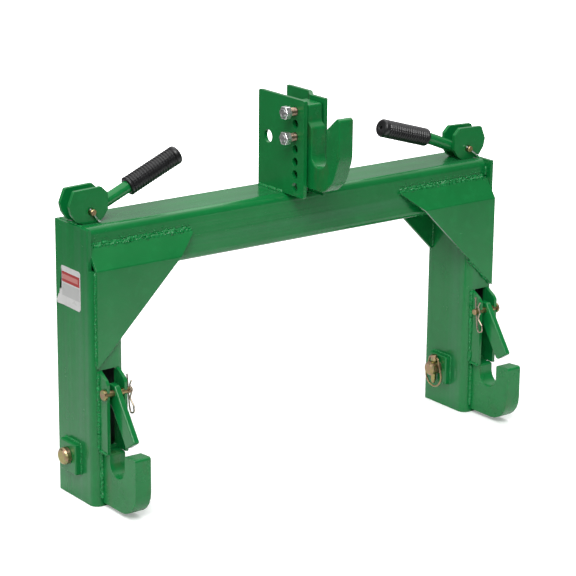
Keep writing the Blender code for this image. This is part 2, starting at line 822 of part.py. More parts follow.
def make_lever(side, name, path, finish_name):
    pivot = (side * LEG_X, CAM_PIN_Y, CAM_PIN_Z)
    points = []
    for item in path:
        points.append((side * (LEG_X + item[0]), CAM_PIN_Y, CAM_PIN_Z + item[1], *item[2:]))
    return place(wire(name, points, LEVER_RADIUS, 20, 5.0), name, finish_name, pivot)


def make_grip(side, name, path, finish_name):
    tip = Vector((side * (LEG_X + path[-1][0]), CAM_PIN_Y, CAM_PIN_Z + path[-1][1]))
    before = Vector((side * (LEG_X + path[-2][0]), CAM_PIN_Y, CAM_PIN_Z + path[-2][1]))
    along = (tip - before).normalized()
    bore = LEVER_RADIUS + WELD_GAP
    pitch = (GRIP_LENGTH - 0.010) / GRIP_RIBS
    root = GRIP_RADIUS - 0.0013
    section = [(bore, 0.0), (GRIP_RADIUS - 0.001, 0.0)]
    for index in range(GRIP_RIBS):
        base = index * pitch
        section.append((GRIP_RADIUS, base + pitch * 0.30))
        section.append((root, base + pitch * 0.75))
    section.append((GRIP_RADIUS, GRIP_LENGTH - 0.0095))
    section.append((GRIP_RADIUS, GRIP_LENGTH - 0.0055))
    section.append((GRIP_RADIUS - 0.0025, GRIP_LENGTH - 0.0018))
    section.append((GRIP_RADIUS - 0.0065, GRIP_LENGTH))
    section.append((0.0028, GRIP_LENGTH))
    section.append((0.0028, GRIP_LENGTH - 0.0040))
    section.append((bore, GRIP_LENGTH - 0.0040))
    mesh = turned(name, "Z", section, (0.0, 0.0, 0.0), 16)
    start = tip - along * (GRIP_LENGTH - 0.0040 - WELD_GAP)
    turn = Vector((0.0, 0.0, 1.0)).rotation_difference(along).to_matrix()
    for vertex in mesh.vertices:
        vertex.co = turn @ vertex.co + start
    pivot = (side * LEG_X, CAM_PIN_Y, CAM_PIN_Z)
    return place(mesh, name, finish_name, pivot)


def make_cam_pin(side, name, finish_name):
    radius = CAM_PIN_RADIUS
    back = CAM_INNER + CAM_THICK + WELD_GAP
    front = -back - 0.0068
    section = [
        (0.0, front),
        (radius - 0.001, front),
        (radius, front + 0.001),
        (radius, back),
        (0.0078, back),
        (0.0080, back + 0.0005),
        (0.0080, back + 0.0030),
        (0.0068, back + 0.0042),
        (0.0, back + 0.0042),
    ]
    centre = (side * LEG_X, CAM_PIN_Y, CAM_PIN_Z)
    item = place(turned(name, "Y", section, centre, 20), name, finish_name, centre)
    y = CAM_PIN_Y - back - 0.0032
    tool = wire("cotter hole", cotter_line(side, y, -0.012, 0.012), 0.0017, 12)
    combine(item, cutter(tool, name + " cotter hole"))
    return item


def cotter_line(side, y, low, high):
    # The cotters lean to the right of the machine on both cams
    lean = math.radians(34 if side < 0 else 52)
    x = math.sin(lean)
    z = -math.cos(lean)
    base = Vector((side * LEG_X, y, CAM_PIN_Z))
    line = Vector((x, 0.0, z))
    return [tuple(base + line * low), tuple(base + line * high)]


def make_cotter(side, name, finish_name):
    back = CAM_INNER + CAM_THICK + WELD_GAP
    y = CAM_PIN_Y - back - 0.0032
    reach = 0.0165 if side < 0 else 0.0200
    start, end = cotter_line(side, y, -0.0070, reach)
    bulb = Vector(end) + Vector((0.0, -0.0035, 0.0))
    path = [start, (*end, 0.0025), tuple(bulb)]
    pivot = (side * LEG_X, CAM_PIN_Y, CAM_PIN_Z)
    return place(wire(name, path, 0.0014, 6, 20.0), name, finish_name, pivot)


# Pull rod from the cam pin down to the latch, with its spring and seat
def make_lift_rod(side, name, finish_name):
    eye = CAM_PIN_RADIUS + ROD_RADIUS + RUN_FIT
    crank = LATCH_THICK / 2 + ROD_RADIUS + BOLT_FIT
    rod_x = side * (LEG_X + crank)
    low_y = LATCH_EYE_Y + 0.001
    path = [
        (side * LEG_X, ROD_Y, CAM_PIN_Z - eye),
        (side * LEG_X, ROD_Y, CRANK_HIGH, 0.012),
        (rod_x, low_y, CRANK_LOW, 0.012),
        (rod_x, low_y, LATCH_EYE_Z, 0.0052),
        (side * (LEG_X - 0.0095), low_y, LATCH_EYE_Z),
    ]
    pivot = (side * LEG_X, CAM_PIN_Y, CAM_PIN_Z)
    mesh = wire(name, path, ROD_RADIUS, 10, 18.0)
    item = place(mesh, name, finish_name, pivot)
    section = []
    for index in range(8):
        turn = math.radians(45 * index + 22.5)
        section.append((eye + ROD_RADIUS * math.cos(turn), ROD_RADIUS * math.sin(turn)))
    ring = turned("rod eye", "Y", section, pivot, 18)
    combine(item, cutter(ring, name + " eye"), "UNION")
    return item


def spring_top():
    return BEAM_BOTTOM - 0.0006


def make_spring(side, name, finish_name):
    path = []
    steps = SPRING_TURNS * 8
    top = spring_top() - SPRING_WIRE
    for index in range(steps + 1):
        part = index / steps
        turn = math.tau * SPRING_TURNS * part
        x = side * LEG_X + SPRING_RADIUS * math.cos(turn)
        y = ROD_Y + SPRING_RADIUS * math.sin(turn)
        path.append((x, y, top - (SPRING_LENGTH - 2 * SPRING_WIRE) * part))
    return place(wire(name, path, SPRING_WIRE, 6), name, finish_name)


def make_spring_seat(side, name, finish_name):
    top = spring_top() - SPRING_LENGTH - 0.0006
    bore = ROD_RADIUS + WELD_GAP
    section = [
        (bore, top - 0.0030),
        (0.0112, top - 0.0030),
        (0.0115, top - 0.0027),
        (0.0115, top - 0.0003),
        (0.0112, top),
        (bore, top),
    ]
    centre = (side * LEG_X, ROD_Y, 0.0)
    pivot = (side * LEG_X, CAM_PIN_Y, CAM_PIN_Z)
    return place(turned(name, "Z", section, centre, 16), name, finish_name, pivot)


# Turn each finished shape into one plain mesh and drop the cutting tools
def settle():
    graph = bpy.context.evaluated_depsgraph_get()
    graph.update()
    parts = [item for item in bpy.data.objects if item.type == "MESH" and not item.hide_render]
    finished = [bpy.data.meshes.new_from_object(item.evaluated_get(graph)) for item in parts]
    for item, mesh in zip(parts, finished):
        item.modifiers.clear()
        item.data = mesh
        mesh.name = item.name
        mesh.shade_smooth()
        mesh.set_sharp_from_angle(angle=math.radians(32))
    for item in list(bpy.data.objects):
        if item.type == "MESH" and item.hide_render:
            bpy.data.objects.remove(item, do_unlink=True)


def make_side(side, tag):
    green = "green paint"
    zinc = "yellow zinc"
    dark = "black steel"
    make_leg(side, f"leg_{tag}", green)
    make_front_gusset(side, f"front_gusset_{tag}", green)
    make_rear_gusset(side, f"rear_gusset_{tag}", green)
    make_lower_hook(side, f"lower_hook_{tag}", green)
    make_cheek(side, 1, f"latch_cheek_{tag}_outer", green)
    make_cheek(side, -1, f"latch_cheek_{tag}_inner", green)
    make_latch(side, f"latch_{tag}", green)
    make_latch_pin(side, f"latch_pin_{tag}", zinc)
    make_latch_clip(side, f"latch_pin_clip_{tag}", "spring steel")
    make_boss(side, 1, f"link_boss_{tag}_outer", green)
    make_boss(side, -1, f"link_boss_{tag}_inner", green)
    make_link_pin(side, f"lower_link_pin_{tag}", zinc)
    make_linch_pin(side, f"linch_pin_{tag}", zinc)
    make_linch_ring(side, f"linch_pin_ring_{tag}", zinc)
    make_cam_plate(side, False, f"cam_plate_{tag}_front", green)
    make_cam_plate(side, True, f"cam_plate_{tag}_rear", green)
    if side < 0:
        path = [(-0.0170, 0.0009), (-0.1493, 0.0575)]
    else:
        path = [(-0.0170, 0.0018), (-0.0685, 0.0226, 0.200), (-0.1589, 0.0492)]
    make_lever(side, f"lever_rod_{tag}", path, green)
    make_grip(side, f"grip_{tag}", path, "grip rubber")
    make_cam_pin(side, f"cam_pin_{tag}", zinc)
    make_cotter(side, f"cam_pin_cotter_{tag}", "bright zinc")
    make_lift_rod(side, f"lift_rod_{tag}", dark)
    make_spring(side, f"latch_spring_{tag}", dark)
    make_spring_seat(side, f"spring_seat_{tag}", dark)


def main():
    clear_scene()
    frame = bpy.data.objects.new("hitch_frame", None)
    bpy.context.scene.collection.objects.link(frame)
    frame.location = (0.0, -SHIFT, 0.0)
    green = "green paint"
    bright = "bright zinc"
    copper = "copper zinc"
    make_beam(green)
    make_left_bracket(green)
    make_right_bracket(green)
    make_top_hook(green)
    make_hook_bolt("top_hook_bolt_upper", 0, copper)
    make_hook_bolt("top_hook_bolt_lower", 2, copper)
    make_hook_nut("top_hook_nut_upper", 0, bright)
    make_hook_nut("top_hook_nut_lower", 2, bright)
    make_side(-1, "left")
    make_side(1, "right")
    settle()


main()
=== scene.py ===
import itertools
import json
import math
import random

import bmesh
import bpy
import numpy as np
from mathutils import Matrix, Vector, noise

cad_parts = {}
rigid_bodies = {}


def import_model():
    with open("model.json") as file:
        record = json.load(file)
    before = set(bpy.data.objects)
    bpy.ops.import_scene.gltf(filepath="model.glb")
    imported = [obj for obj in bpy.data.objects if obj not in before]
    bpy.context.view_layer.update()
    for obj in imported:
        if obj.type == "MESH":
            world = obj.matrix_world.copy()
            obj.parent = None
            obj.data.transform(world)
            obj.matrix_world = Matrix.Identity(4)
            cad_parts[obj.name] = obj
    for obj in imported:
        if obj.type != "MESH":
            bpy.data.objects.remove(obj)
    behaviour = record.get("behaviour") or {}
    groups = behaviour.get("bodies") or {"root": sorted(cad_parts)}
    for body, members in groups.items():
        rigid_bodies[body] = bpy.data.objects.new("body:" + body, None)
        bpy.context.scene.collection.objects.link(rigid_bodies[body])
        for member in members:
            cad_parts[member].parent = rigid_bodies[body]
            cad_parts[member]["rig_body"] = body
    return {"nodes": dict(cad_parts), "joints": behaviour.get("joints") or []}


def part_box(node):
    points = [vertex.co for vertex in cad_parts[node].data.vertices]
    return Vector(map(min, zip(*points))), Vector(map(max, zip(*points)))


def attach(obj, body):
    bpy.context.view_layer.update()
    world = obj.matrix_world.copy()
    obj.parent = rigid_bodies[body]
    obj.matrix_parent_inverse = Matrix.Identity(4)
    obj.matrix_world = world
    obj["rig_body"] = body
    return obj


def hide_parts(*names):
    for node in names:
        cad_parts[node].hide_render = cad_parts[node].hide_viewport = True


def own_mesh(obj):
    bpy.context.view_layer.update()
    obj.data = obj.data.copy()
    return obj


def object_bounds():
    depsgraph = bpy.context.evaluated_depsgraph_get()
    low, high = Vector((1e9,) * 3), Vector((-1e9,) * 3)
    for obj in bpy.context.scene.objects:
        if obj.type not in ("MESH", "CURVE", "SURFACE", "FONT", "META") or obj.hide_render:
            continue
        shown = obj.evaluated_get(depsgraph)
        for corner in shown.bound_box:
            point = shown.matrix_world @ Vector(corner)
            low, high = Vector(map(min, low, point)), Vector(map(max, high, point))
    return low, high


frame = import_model()
cadLow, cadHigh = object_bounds()
scene = bpy.context.scene
sides = {"left": -1, "right": 1}
print("frame loaded")


# A socket that can be used in sums, so that shader maths reads as plain expressions
class Value:
    def __init__(self, surface, socket):
        self.surface = surface
        self.socket = socket

    def work(self, operation, other):
        return self.surface.node("ShaderNodeMath", {"operation": operation}, {0: self, 1: other})

    def __add__(self, other):
        return self.work("ADD", other)

    def __mul__(self, other):
        return self.work("MULTIPLY", other)

    def above(self, level):
        return self.work("GREATER_THAN", level)

    def below(self, level):
        return self.work("LESS_THAN", level)


# One material: its node tree, its shader and the few patterns that every finish here is made of
class Surface:
    def __init__(self, name, metallic=0.0, specular=0.5):
        self.material = bpy.data.materials.new(name)
        self.material.use_nodes = True
        self.tree = self.material.node_tree
        self.shader = self.tree.nodes["Principled BSDF"]
        self.set("Metallic", metallic)
        self.set("Specular IOR Level", specular)
        self.place = self.node("ShaderNodeTexCoord", output="Object")

    def node(self, kind, settings=None, sockets=None, output=0):
        node = self.tree.nodes.new(kind)
        for key, setting in (settings or {}).items():
            setattr(node, key, setting)
        for key, value in (sockets or {}).items():
            self.feed(node.inputs[key], value)
        return Value(self, node.outputs[output])

    def feed(self, socket, value):
        if isinstance(value, Value):
            self.tree.links.new(value.socket, socket)
        else:
            socket.default_value = value

    def set(self, name, value):
        self.feed(self.shader.inputs[name], value)

    def axis(self, index):
        return self.node("ShaderNodeSeparateXYZ", None, {0: self.place}, output=index)

    def measure(self, operation, *vectors):
        sockets = dict(enumerate((self.place, *vectors)))
        return self.node("ShaderNodeVectorMath", {"operation": operation}, sockets, output=1)

    def stretched(self, scale):
        return self.node("ShaderNodeMapping", None, {"Vector": self.place, "Scale": scale})

    def cloud(self, scale, detail=3.0, roughness=0.5, vector=None):
        sockets = {"Vector": vector or self.place, "Scale": scale, "Detail": detail, "Roughness": roughness}
        return self.node("ShaderNodeTexNoise", None, sockets)

    def spots(self, scale):
        return self.node("ShaderNodeTexVoronoi", None, {"Vector": self.place, "Scale": scale})

    def between(self, value, low, high, toLow=0.0, toHigh=1.0):
        sockets = {"Value": value, "From Min": low, "From Max": high, "To Min": toLow, "To Max": toHigh}
        return self.node("ShaderNodeMapRange", None, sockets)

    def patches(self, scale, detail, roughness, low, high, vector=None):
        return self.between(self.cloud(scale, detail, roughness, vector), low, high)

    def blend(self, factor, first, second):
        settings = {"data_type": "RGBA", "blend_type": "MIX", "clamp_factor": True}
        sockets = {0: factor, 6: (*first, 1.0) if isinstance(first, tuple) else first}
        sockets[7] = (*second, 1.0) if isinstance(second, tuple) else second
        return self.node("ShaderNodeMix", settings, sockets, output=2)

    def mottle(self, scale, low, high):
        self.set("Roughness", self.between(self.cloud(scale, 4.0, 0.6), 0.3, 0.7, low, high))

    def relief(self, height, depth, strength=0.6):
        sockets = {"Height": height, "Distance": depth, "Strength": strength}
        self.set("Normal", self.node("ShaderNodeBump", None, sockets))


# In every finish a cloud is its scale, detail and roughness; a pattern adds the levels it fades in between.
# Share is how much of a colour shows, height how far a cloud lifts the relief, dull how much it roughens.
# Roughness is two levels of its cloud and the values there
greenPaint = {
    "base": (0.0035, 0.182, 0.040),
    "deep": (0.0030, 0.148, 0.032),
    "thin": (0.0110, 0.255, 0.066),
    # dust on scuffs, and the painted sheen of the broad bands along streaks
    "dustAndSheen": (0.040, 0.170, 0.080),
    # bead: painted highlight on the tops of weld lumps
    "bead": (0.0200, 0.285, 0.084),
    "gloss": 0.46,
    "beadGloss": 0.36,
    "tone": (7.0, 4.0, 0.55, 0.35, 0.68),
    "mist": (60.0, 5.0, 0.65, 0.52, 0.80),
    "mistShare": 0.30,
    "scuff": (28.0, 6.0, 0.75, 0.64, 0.78),
    "scuffStretch": (1.0, 1.0, 5.0),
    "scuffShare": 0.20,
    "scuffDull": 0.12,
    "nibScale": 260.0,
    "nibSize": (0.10, 0.04),
    "nibField": (40.0, 2.0, 0.5, 0.60, 0.68),
    "nibShare": 0.5,
    "nibHeight": 0.4,
    "roughCloud": (19.0, 5.0, 0.6),
    "roughness": (0.30, 0.72, 0.14, 0.27),
    "peel": (480.0, 2.0, 0.5),
    "peelHeight": 0.10,
    "swell": (26.0, 3.0, 0.5),
    "swellHeight": 0.80,
    "streak": (1.0, 3.0, 0.55),
    "streakLevels": (0.50, 0.66),
    "streakShare": 0.48,
    "streakHeight": 1.4,
    "streakDull": 0.05,
    "broadSheen": (1.0, 2.0, 0.5, 0.52, 0.64),
    "broadStretch": 0.55,
    "broadShare": 0.30,
    "blob": (330.0, 4.0, 0.65),
    "blobLevels": (0.46, 0.66),
    "blobShare": 0.75,
    "blobRoughness": 0.80,
    "relief": 0.00040,
    "reliefStrength": 0.8,
}


# Sprayed gloss enamel: soft clouds of tone, orange peel, small nibs and a light film of dust. Long faces get
# streaks: ridges in the relief with painted reflections along them, darker lines and lighter broad bands
def makePaint(name, streaks=None, lumps=0.0):
    paint = greenPaint
    look = Surface(name, specular=paint["beadGloss"] if lumps else paint["gloss"])
    colour = look.blend(look.patches(*paint["tone"]), paint["base"], paint["deep"])
    colour = look.blend(look.patches(*paint["mist"]) * paint["mistShare"], colour, paint["thin"])
    scuff = look.patches(*paint["scuff"], look.stretched(paint["scuffStretch"]))
    colour = look.blend(scuff * paint["scuffShare"], colour, paint["dustAndSheen"])
    nib = look.between(look.spots(paint["nibScale"]), *paint["nibSize"])
    nib = nib * look.patches(*paint["nibField"])
    colour = look.blend(nib * paint["nibShare"], colour, paint["thin"])
    rough = look.between(look.cloud(*paint["roughCloud"]), *paint["roughness"])
    rough = rough + scuff * paint["scuffDull"]
    peel = look.cloud(*paint["peel"]) * paint["peelHeight"]
    peel = peel + look.cloud(*paint["swell"]) * paint["swellHeight"] + nib * paint["nibHeight"]
    # Streaks: ridges in the relief, and painted reflections along them, darker on the streaks and lighter in
    # broad bands
    if streaks:
        streakCloud = look.cloud(*paint["streak"], look.stretched(streaks))
        peel = peel + streakCloud * paint["streakHeight"]
        streak = look.between(streakCloud, *paint["streakLevels"])
        colour = look.blend(streak * paint["streakShare"], colour, paint["deep"])
        wide = look.stretched(tuple(paint["broadStretch"] * part for part in streaks))
        broadSheen = look.patches(*paint["broadSheen"], wide)
        colour = look.blend(broadSheen * paint["broadShare"], colour, paint["dustAndSheen"])
        rough = rough + streak * paint["streakDull"]
    # Lumps: the bead's relief, with their tops painted lighter as highlights
    if lumps:
        blob = look.cloud(*paint["blob"])
        peel = peel + blob * lumps
        bright = look.between(blob, *paint["blobLevels"])
        colour = look.blend(bright * paint["blobShare"], colour, paint["bead"])
        rough = rough * paint["blobRoughness"]
    look.set("Base Color", colour)
    look.set("Roughness", rough)
    look.relief(peel, paint["relief"], paint["reliefStrength"])
    return look.material


cutPaint = {
    "soilColour": (0.062, 0.088, 0.034),
    "gloss": 0.36,
    "tone": (16.0, 5.0, 0.6, 0.32, 0.60),
    "soil": (30.0, 5.0, 0.6, 0.54, 0.74),
    "soilStretch": (1.0, 1.0, 0.45),
    "soilShare": 0.55,
    "pit": (150.0, 4.0, 0.6, 0.60, 0.78),
    "pitShare": 0.40,
    "pitHeight": 0.3,
    "scuff": (34.0, 6.0, 0.75, 0.62, 0.78),
    "scuffShare": 0.30,
    "roughCloud": (26.0, 5.0, 0.6),
    "roughness": (0.30, 0.72, 0.18, 0.34),
    "drag": (1.0, 4.0, 0.6),
    "dragStretch": (14.0, 420.0, 420.0),
    "dragHeight": 0.45,
    "swell": (60.0, 4.0, 0.6),
    "relief": 0.00034,
    "reliefStrength": 0.8,
}


# Flame-cut thick plate under paint: soiled patches, pits and fine drag lines down the cut
def makeCutPlate(name):
    cut = cutPaint
    look = Surface(name, specular=cut["gloss"])
    colour = look.blend(look.patches(*cut["tone"]), greenPaint["base"], greenPaint["deep"])
    soil = look.patches(*cut["soil"], look.stretched(cut["soilStretch"]))
    colour = look.blend(soil * cut["soilShare"], colour, cut["soilColour"])
    pit = look.patches(*cut["pit"])
    colour = look.blend(pit * cut["pitShare"], colour, greenPaint["thin"])
    scuff = look.patches(*cut["scuff"])
    look.set("Base Color", look.blend(scuff * cut["scuffShare"], colour, greenPaint["dustAndSheen"]))
    look.set("Roughness", look.between(look.cloud(*cut["roughCloud"]), *cut["roughness"]))
    height = look.cloud(*cut["drag"], look.stretched(cut["dragStretch"])) * cut["dragHeight"]
    height = height + look.cloud(*cut["swell"]) + pit * cut["pitHeight"]
    look.relief(height, cut["relief"], cut["reliefStrength"])
    return look.material


# The plain finishes: a ground colour under layers, each a pattern, the share and colour it shows and,
# if it has one, its stretch. Mottle is a cloud's scale and the roughness it runs between, clouds are the
# relief's clouds with their heights, and filmHeight is that of the last layer
metalLayer = (160.0, 5.0, 0.65, 0.50, 0.75)
metal = {
    "metallic": 1.0,
    "mottle": (220.0, 0.20, 0.40),
    "clouds": [((600.0, 4.0, 0.6), 1.0)],
    "relief": 0.00008,
}
finishes = {
    "brightZinc": {
        **metal,
        "ground": (0.74, 0.75, 0.74),
        "layers": [(metalLayer, 0.7, (0.40, 0.40, 0.41))],
    },
    "springWire": {
        **metal,
        "ground": (0.46, 0.38, 0.29),
        "layers": [(metalLayer, 0.7, (0.24, 0.18, 0.13))],
    },
    "copperShank": {
        **metal,
        "ground": (0.52, 0.36, 0.28),
        "layers": [(metalLayer, 0.7, (0.26, 0.17, 0.13))],
    },
    # Yellow passivated zinc: patches of gold, rose and faint green, with a dull film that stands proud
    "yellowZinc": {
        "metallic": 1.0,
        "ground": (0.36, 0.31, 0.12),
        "layers": [
            ((70.0, 3.0, 0.55, 0.38, 0.62), 1.0, (0.39, 0.25, 0.17)),
            ((110.0, 3.0, 0.5, 0.55, 0.68), 0.6, (0.29, 0.38, 0.15), (1.0, 1.3, 0.8)),
            ((190.0, 5.0, 0.7, 0.58, 0.78), 0.65, (0.11, 0.09, 0.05)),
        ],
        "mottle": (150.0, 0.24, 0.46),
        "clouds": [((420.0, 4.0, 0.6), 1.0)],
        "filmHeight": 0.4,
        "relief": 0.00010,
    },
    # Pull rods and springs: oiled scale with rubbed spots
    "blackSteel": {
        "metallic": 0.15,
        "gloss": 0.35,
        "ground": (0.0065, 0.0065, 0.0075),
        "layers": [((120.0, 5.0, 0.7, 0.60, 0.74), 0.6, (0.10, 0.09, 0.085))],
        "mottle": (90.0, 0.34, 0.58),
        "clouds": [((400.0, 4.0, 0.6), 1.0)],
        "relief": 0.00010,
    },
    # Moulded rubber: near black, faintly grey on the ribs, with a fine stipple
    "gripRubber": {
        "ground": (0.0060, 0.0060, 0.0068),
        "layers": [
            ((45.0, 5.0, 0.65, 0.48, 0.76), 0.75, (0.024, 0.024, 0.026)),
            ((520.0, 3.0, 0.6, 0.64, 0.76), 0.4, (0.075, 0.075, 0.078)),
        ],
        "mottle": (70.0, 0.24, 0.42),
        "clouds": [((760.0, 3.0, 0.6), 0.8), ((90.0, 3.0, 0.5), 0.5)],
        "relief": 0.00016,
        "reliefStrength": 0.7,
    },
    # Inside the leg channels: painted shade, a near-black finish like bare mill scale with a little
    # overspray, where the channel lies out of the light
    "channelShade": {
        "gloss": 0.06,
        "ground": (0.0115, 0.0175, 0.0130),
        "layers": [
            ((22.0, 5.0, 0.65, 0.42, 0.72), 1.0, (0.0055, 0.0700, 0.0230)),
            ((240.0, 4.0, 0.6, 0.60, 0.75), 0.5, (0.012, 0.011, 0.010)),
        ],
        "mottle": (60.0, 0.70, 0.92),
        "clouds": [((130.0, 4.0, 0.6), 1.0)],
        "relief": 0.00030,
    },
}


def makeFinish(name):
    finish = finishes[name]
    look = Surface(name, finish.get("metallic", 0.0), finish.get("gloss", 0.5))
    colour = finish["ground"]
    for pattern, share, tint, *stretch in finish["layers"]:
        film = look.patches(*pattern, look.stretched(*stretch) if stretch else None)
        colour = look.blend(film * share, colour, tint)
    look.set("Base Color", colour)
    look.mottle(*finish["mottle"])
    lifts = [look.cloud(*cloud) * part for cloud, part in finish["clouds"]]
    if "filmHeight" in finish:
        lifts.append(film * finish["filmHeight"])
    look.relief(sum(lifts[1:], lifts[0]), finish["relief"], finish.get("reliefStrength", 0.6))
    return look.material


paints = {
    # the insides of the leg channels: painted shade
    "scale": makeFinish("channelShade"),
    "tube": makePaint("tubePaint", streaks=(0.9, 70.0, 70.0)),
    "leg": makePaint("legPaint", streaks=(70.0, 70.0, 1.1)),
    "plate": makePaint("platePaint"),
    "cut": makeCutPlate("hookPaint"),
    "weld": makePaint("weldPaint", lumps=1.1),
    "zinc": makeFinish("yellowZinc"),
    "bright": makeFinish("brightZinc"),
    "spring": makeFinish("springWire"),
    "copper": makeFinish("copperShank"),
    "black": makeFinish("blackSteel"),
    "rubber": makeFinish("gripRubber"),
}
print("materials made")

# How far apart doubled points may lie, and up to which angle each kind of made piece is shaded smooth
mergeGap = 1e-6
smoothUpTo = {"bead": 80.0, "wire": 60.0, "sheet": 40.0, "thread": 35.0}


def finishPiece(shape, name, material, body, smoothAngle):
    mesh = bpy.data.meshes.new(name)
    shape.to_mesh(mesh)
    shape.free()
    mesh.shade_smooth()
    mesh.set_sharp_from_angle(angle=math.radians(smoothAngle))
    piece = bpy.data.objects.new(name, mesh)
    scene.collection.objects.link(piece)
    mesh.materials.append(material)
    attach(piece, body)
    return piece


# Edge radius, paint and slot of each kind of steel piece
edgeRound = {
    "beam_tube": (0.0008, "tube", "green_paint"),
    "top_hook": (0.0009, "cut", "green_paint"),
    "bracket_plate": (0.0008, "plate", "green_paint"),
    "leg": (0.0008, "leg", "green_paint"),
    "front_gusset": (0.0007, "plate", "green_paint"),
    "rear_gusset": (0.0007, "plate", "green_paint"),
    "lower_hook": (0.0009, "cut", "green_paint"),
    "latch": (0.0008, "plate", "green_paint"),
    "latch_cheek": (0.0006, "plate", "green_paint"),
    "link_boss": (0.0007, "plate", "green_paint"),
    "cam_plate": (0.0007, "plate", "green_paint"),
    "top_hook_nut": (0.0005, "bright", "bright_zinc"),
    "top_hook_bolt": (0.0004, "copper", "copper_zinc"),
}
dressLook = {"merge": 2e-6, "flat": 1.0, "hard": 24.0, "segments": 2, "smooth": 50.0}


# A copy of a steel piece with its doubles merged and every hard edge rounded over
def roundedCopy(node, kind):
    width, paintName, slotName = edgeRound[kind]
    source = frame["nodes"][node]
    shape = bmesh.new()
    shape.from_mesh(source.data)
    bmesh.ops.remove_doubles(shape, verts=shape.verts, dist=dressLook["merge"])
    flat = math.radians(dressLook["flat"])
    bmesh.ops.dissolve_limit(
        shape, angle_limit=flat, verts=shape.verts, edges=shape.edges, delimit={"NORMAL"}
    )
    limit = math.radians(dressLook["hard"])
    hard = [e for e in shape.edges if len(e.link_faces) == 2 and e.calc_face_angle(0.0) > limit]
    bmesh.ops.bevel(
        shape,
        geom=hard,
        offset=width,
        offset_type="OFFSET",
        segments=dressLook["segments"],
        profile=0.5,
        affect="EDGES",
        material=-1,
        clamp_overlap=True,
        miter_outer="ARC",
    )
    body = source["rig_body"]
    piece = finishPiece(shape, node + "Dressed", paints[paintName], body, dressLook["smooth"])
    weighted = piece.modifiers.new("evenShade", "WEIGHTED_NORMAL")
    weighted.keep_sharp = True
    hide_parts(node)
    return piece


# The inner faces of a leg below the beam get painted shade: the dark channel finish
insideLeg = {"wall": 0.0055, "web": 0.0055, "below": 0.001, "level": 0.7}


def paintShadeInside(tag, mesh):
    low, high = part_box(f"leg_{tag}")
    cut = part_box("beam_tube")[0].z - insideLeg["below"]
    mesh.materials.append(paints["scale"])
    shape = bmesh.new()
    shape.from_mesh(mesh)
    everything = [*shape.verts, *shape.edges, *shape.faces]
    bmesh.ops.bisect_plane(
        shape, geom=everything, dist=mergeGap, plane_co=(0.0, 0.0, cut), plane_no=(0.0, 0.0, 1.0)
    )
    for face in shape.faces:
        middle = face.calc_center_median()
        inside = low.x + insideLeg["wall"] < middle.x < high.x - insideLeg["wall"]
        inside = inside and middle.y > low.y + insideLeg["web"] and middle.z < cut
        if inside and abs(face.normal.z) < insideLeg["level"]:
            face.material_index = 1
    shape.to_mesh(mesh)
    shape.free()


for name in ("beam_tube", "top_hook"):
    roundedCopy(name, name)
for tag in sides:
    roundedCopy(f"bracket_plate_{tag}", "bracket_plate")
for tag in sides:
    for kind in ("leg", "front_gusset", "rear_gusset", "lower_hook", "latch"):
        piece = roundedCopy(f"{kind}_{tag}", kind)
        if kind == "leg":
            paintShadeInside(tag, piece.data)
    for place in ("outer", "inner"):
        for kind in ("latch_cheek", "link_boss"):
            roundedCopy(f"{kind}_{tag}_{place}", kind)
    for place in ("front", "rear"):
        roundedCopy(f"cam_plate_{tag}_{place}", "cam_plate")
for place in ("upper", "lower"):
    roundedCopy(f"top_hook_nut_{place}", "top_hook_nut")
    bolt = roundedCopy(f"top_hook_bolt_{place}", "top_hook_bolt").data
    # The bolt's end in the nut is cleaner than its shank
    bolt.materials.append(paints["bright"])
    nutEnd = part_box(f"top_hook_nut_{place}")[1].x
    for face in bolt.polygons:
        face.material_index = int(face.center.x < nutEnd)
print("plates rounded")

# The nodes that stay as the CAD has them only get their finish; of two names that fit, the first counts
keptFinish = {
    "lever_rod": "plate",
    "lower_link_pin": "zinc",
    "linch_pin": "zinc",
    "latch_pin": "zinc",
    "cam_pin_cotter": "bright",
    "cam_pin": "zinc",
    "lift_rod": "black",
    "spring_seat": "black",
}
for node, source in frame["nodes"].items():
    if source.hide_render:
        continue
    for start, paintName in keptFinish.items():
        if node.startswith(start):
            source.data.materials.clear()
            source.data.materials.append(paints[paintName])
            break


# Wires and beads: a poly curve with a round section, turned into a mesh
def tubeShape(points, radius, around, radii=None):
    curve = bpy.data.curves.new("tube", "CURVE")
    curve.dimensions = "3D"
    curve.bevel_depth = radius
    curve.bevel_resolution = around // 2 - 2
    curve.use_fill_caps = True
    line = curve.splines.new("POLY")
    line.points.add(len(points) - 1)
    for index, point in enumerate(points):
        line.points[index].co = (*point, 1.0)
        line.points[index].radius = radii[index] if radii else 1.0
    guide = bpy.data.objects.new("tube", curve)
    scene.collection.objects.link(guide)
    graph = bpy.context.evaluated_depsgraph_get()
    graph.update()
    mesh = bpy.data.meshes.new_from_object(guide.evaluated_get(graph))
    bpy.data.objects.remove(guide)
    shape = bmesh.new()
    shape.from_mesh(mesh)
    bmesh.ops.remove_doubles(shape, verts=shape.verts, dist=mergeGap)
    bmesh.ops.recalc_face_normals(shape, faces=shape.faces)
    return shape


# Round every corner of a path with its own radius, one point per step of degrees
def roundPath(corners, step=7.0):
    result = []
    for index, (corner, radius) in enumerate(corners):
        if radius == 0.0 or index in (0, len(corners) - 1):
            result.append(corner)
            continue
        back = (corners[index - 1][0] - corner).normalized()
        ahead = (corners[index + 1][0] - corner).normalized()
        inside = back.angle(ahead)
        reach = radius / math.tan(inside / 2)
        centre = corner + (back + ahead).normalized() * radius / math.sin(inside / 2)
        first = (corner + back * reach - centre).normalized()
        last = (corner + ahead * reach - centre).normalized()
        count = max(2, round(math.degrees(math.pi - inside) / step))
        result += [centre + first.slerp(last, part / count) * radius for part in range(count + 1)]
    return result


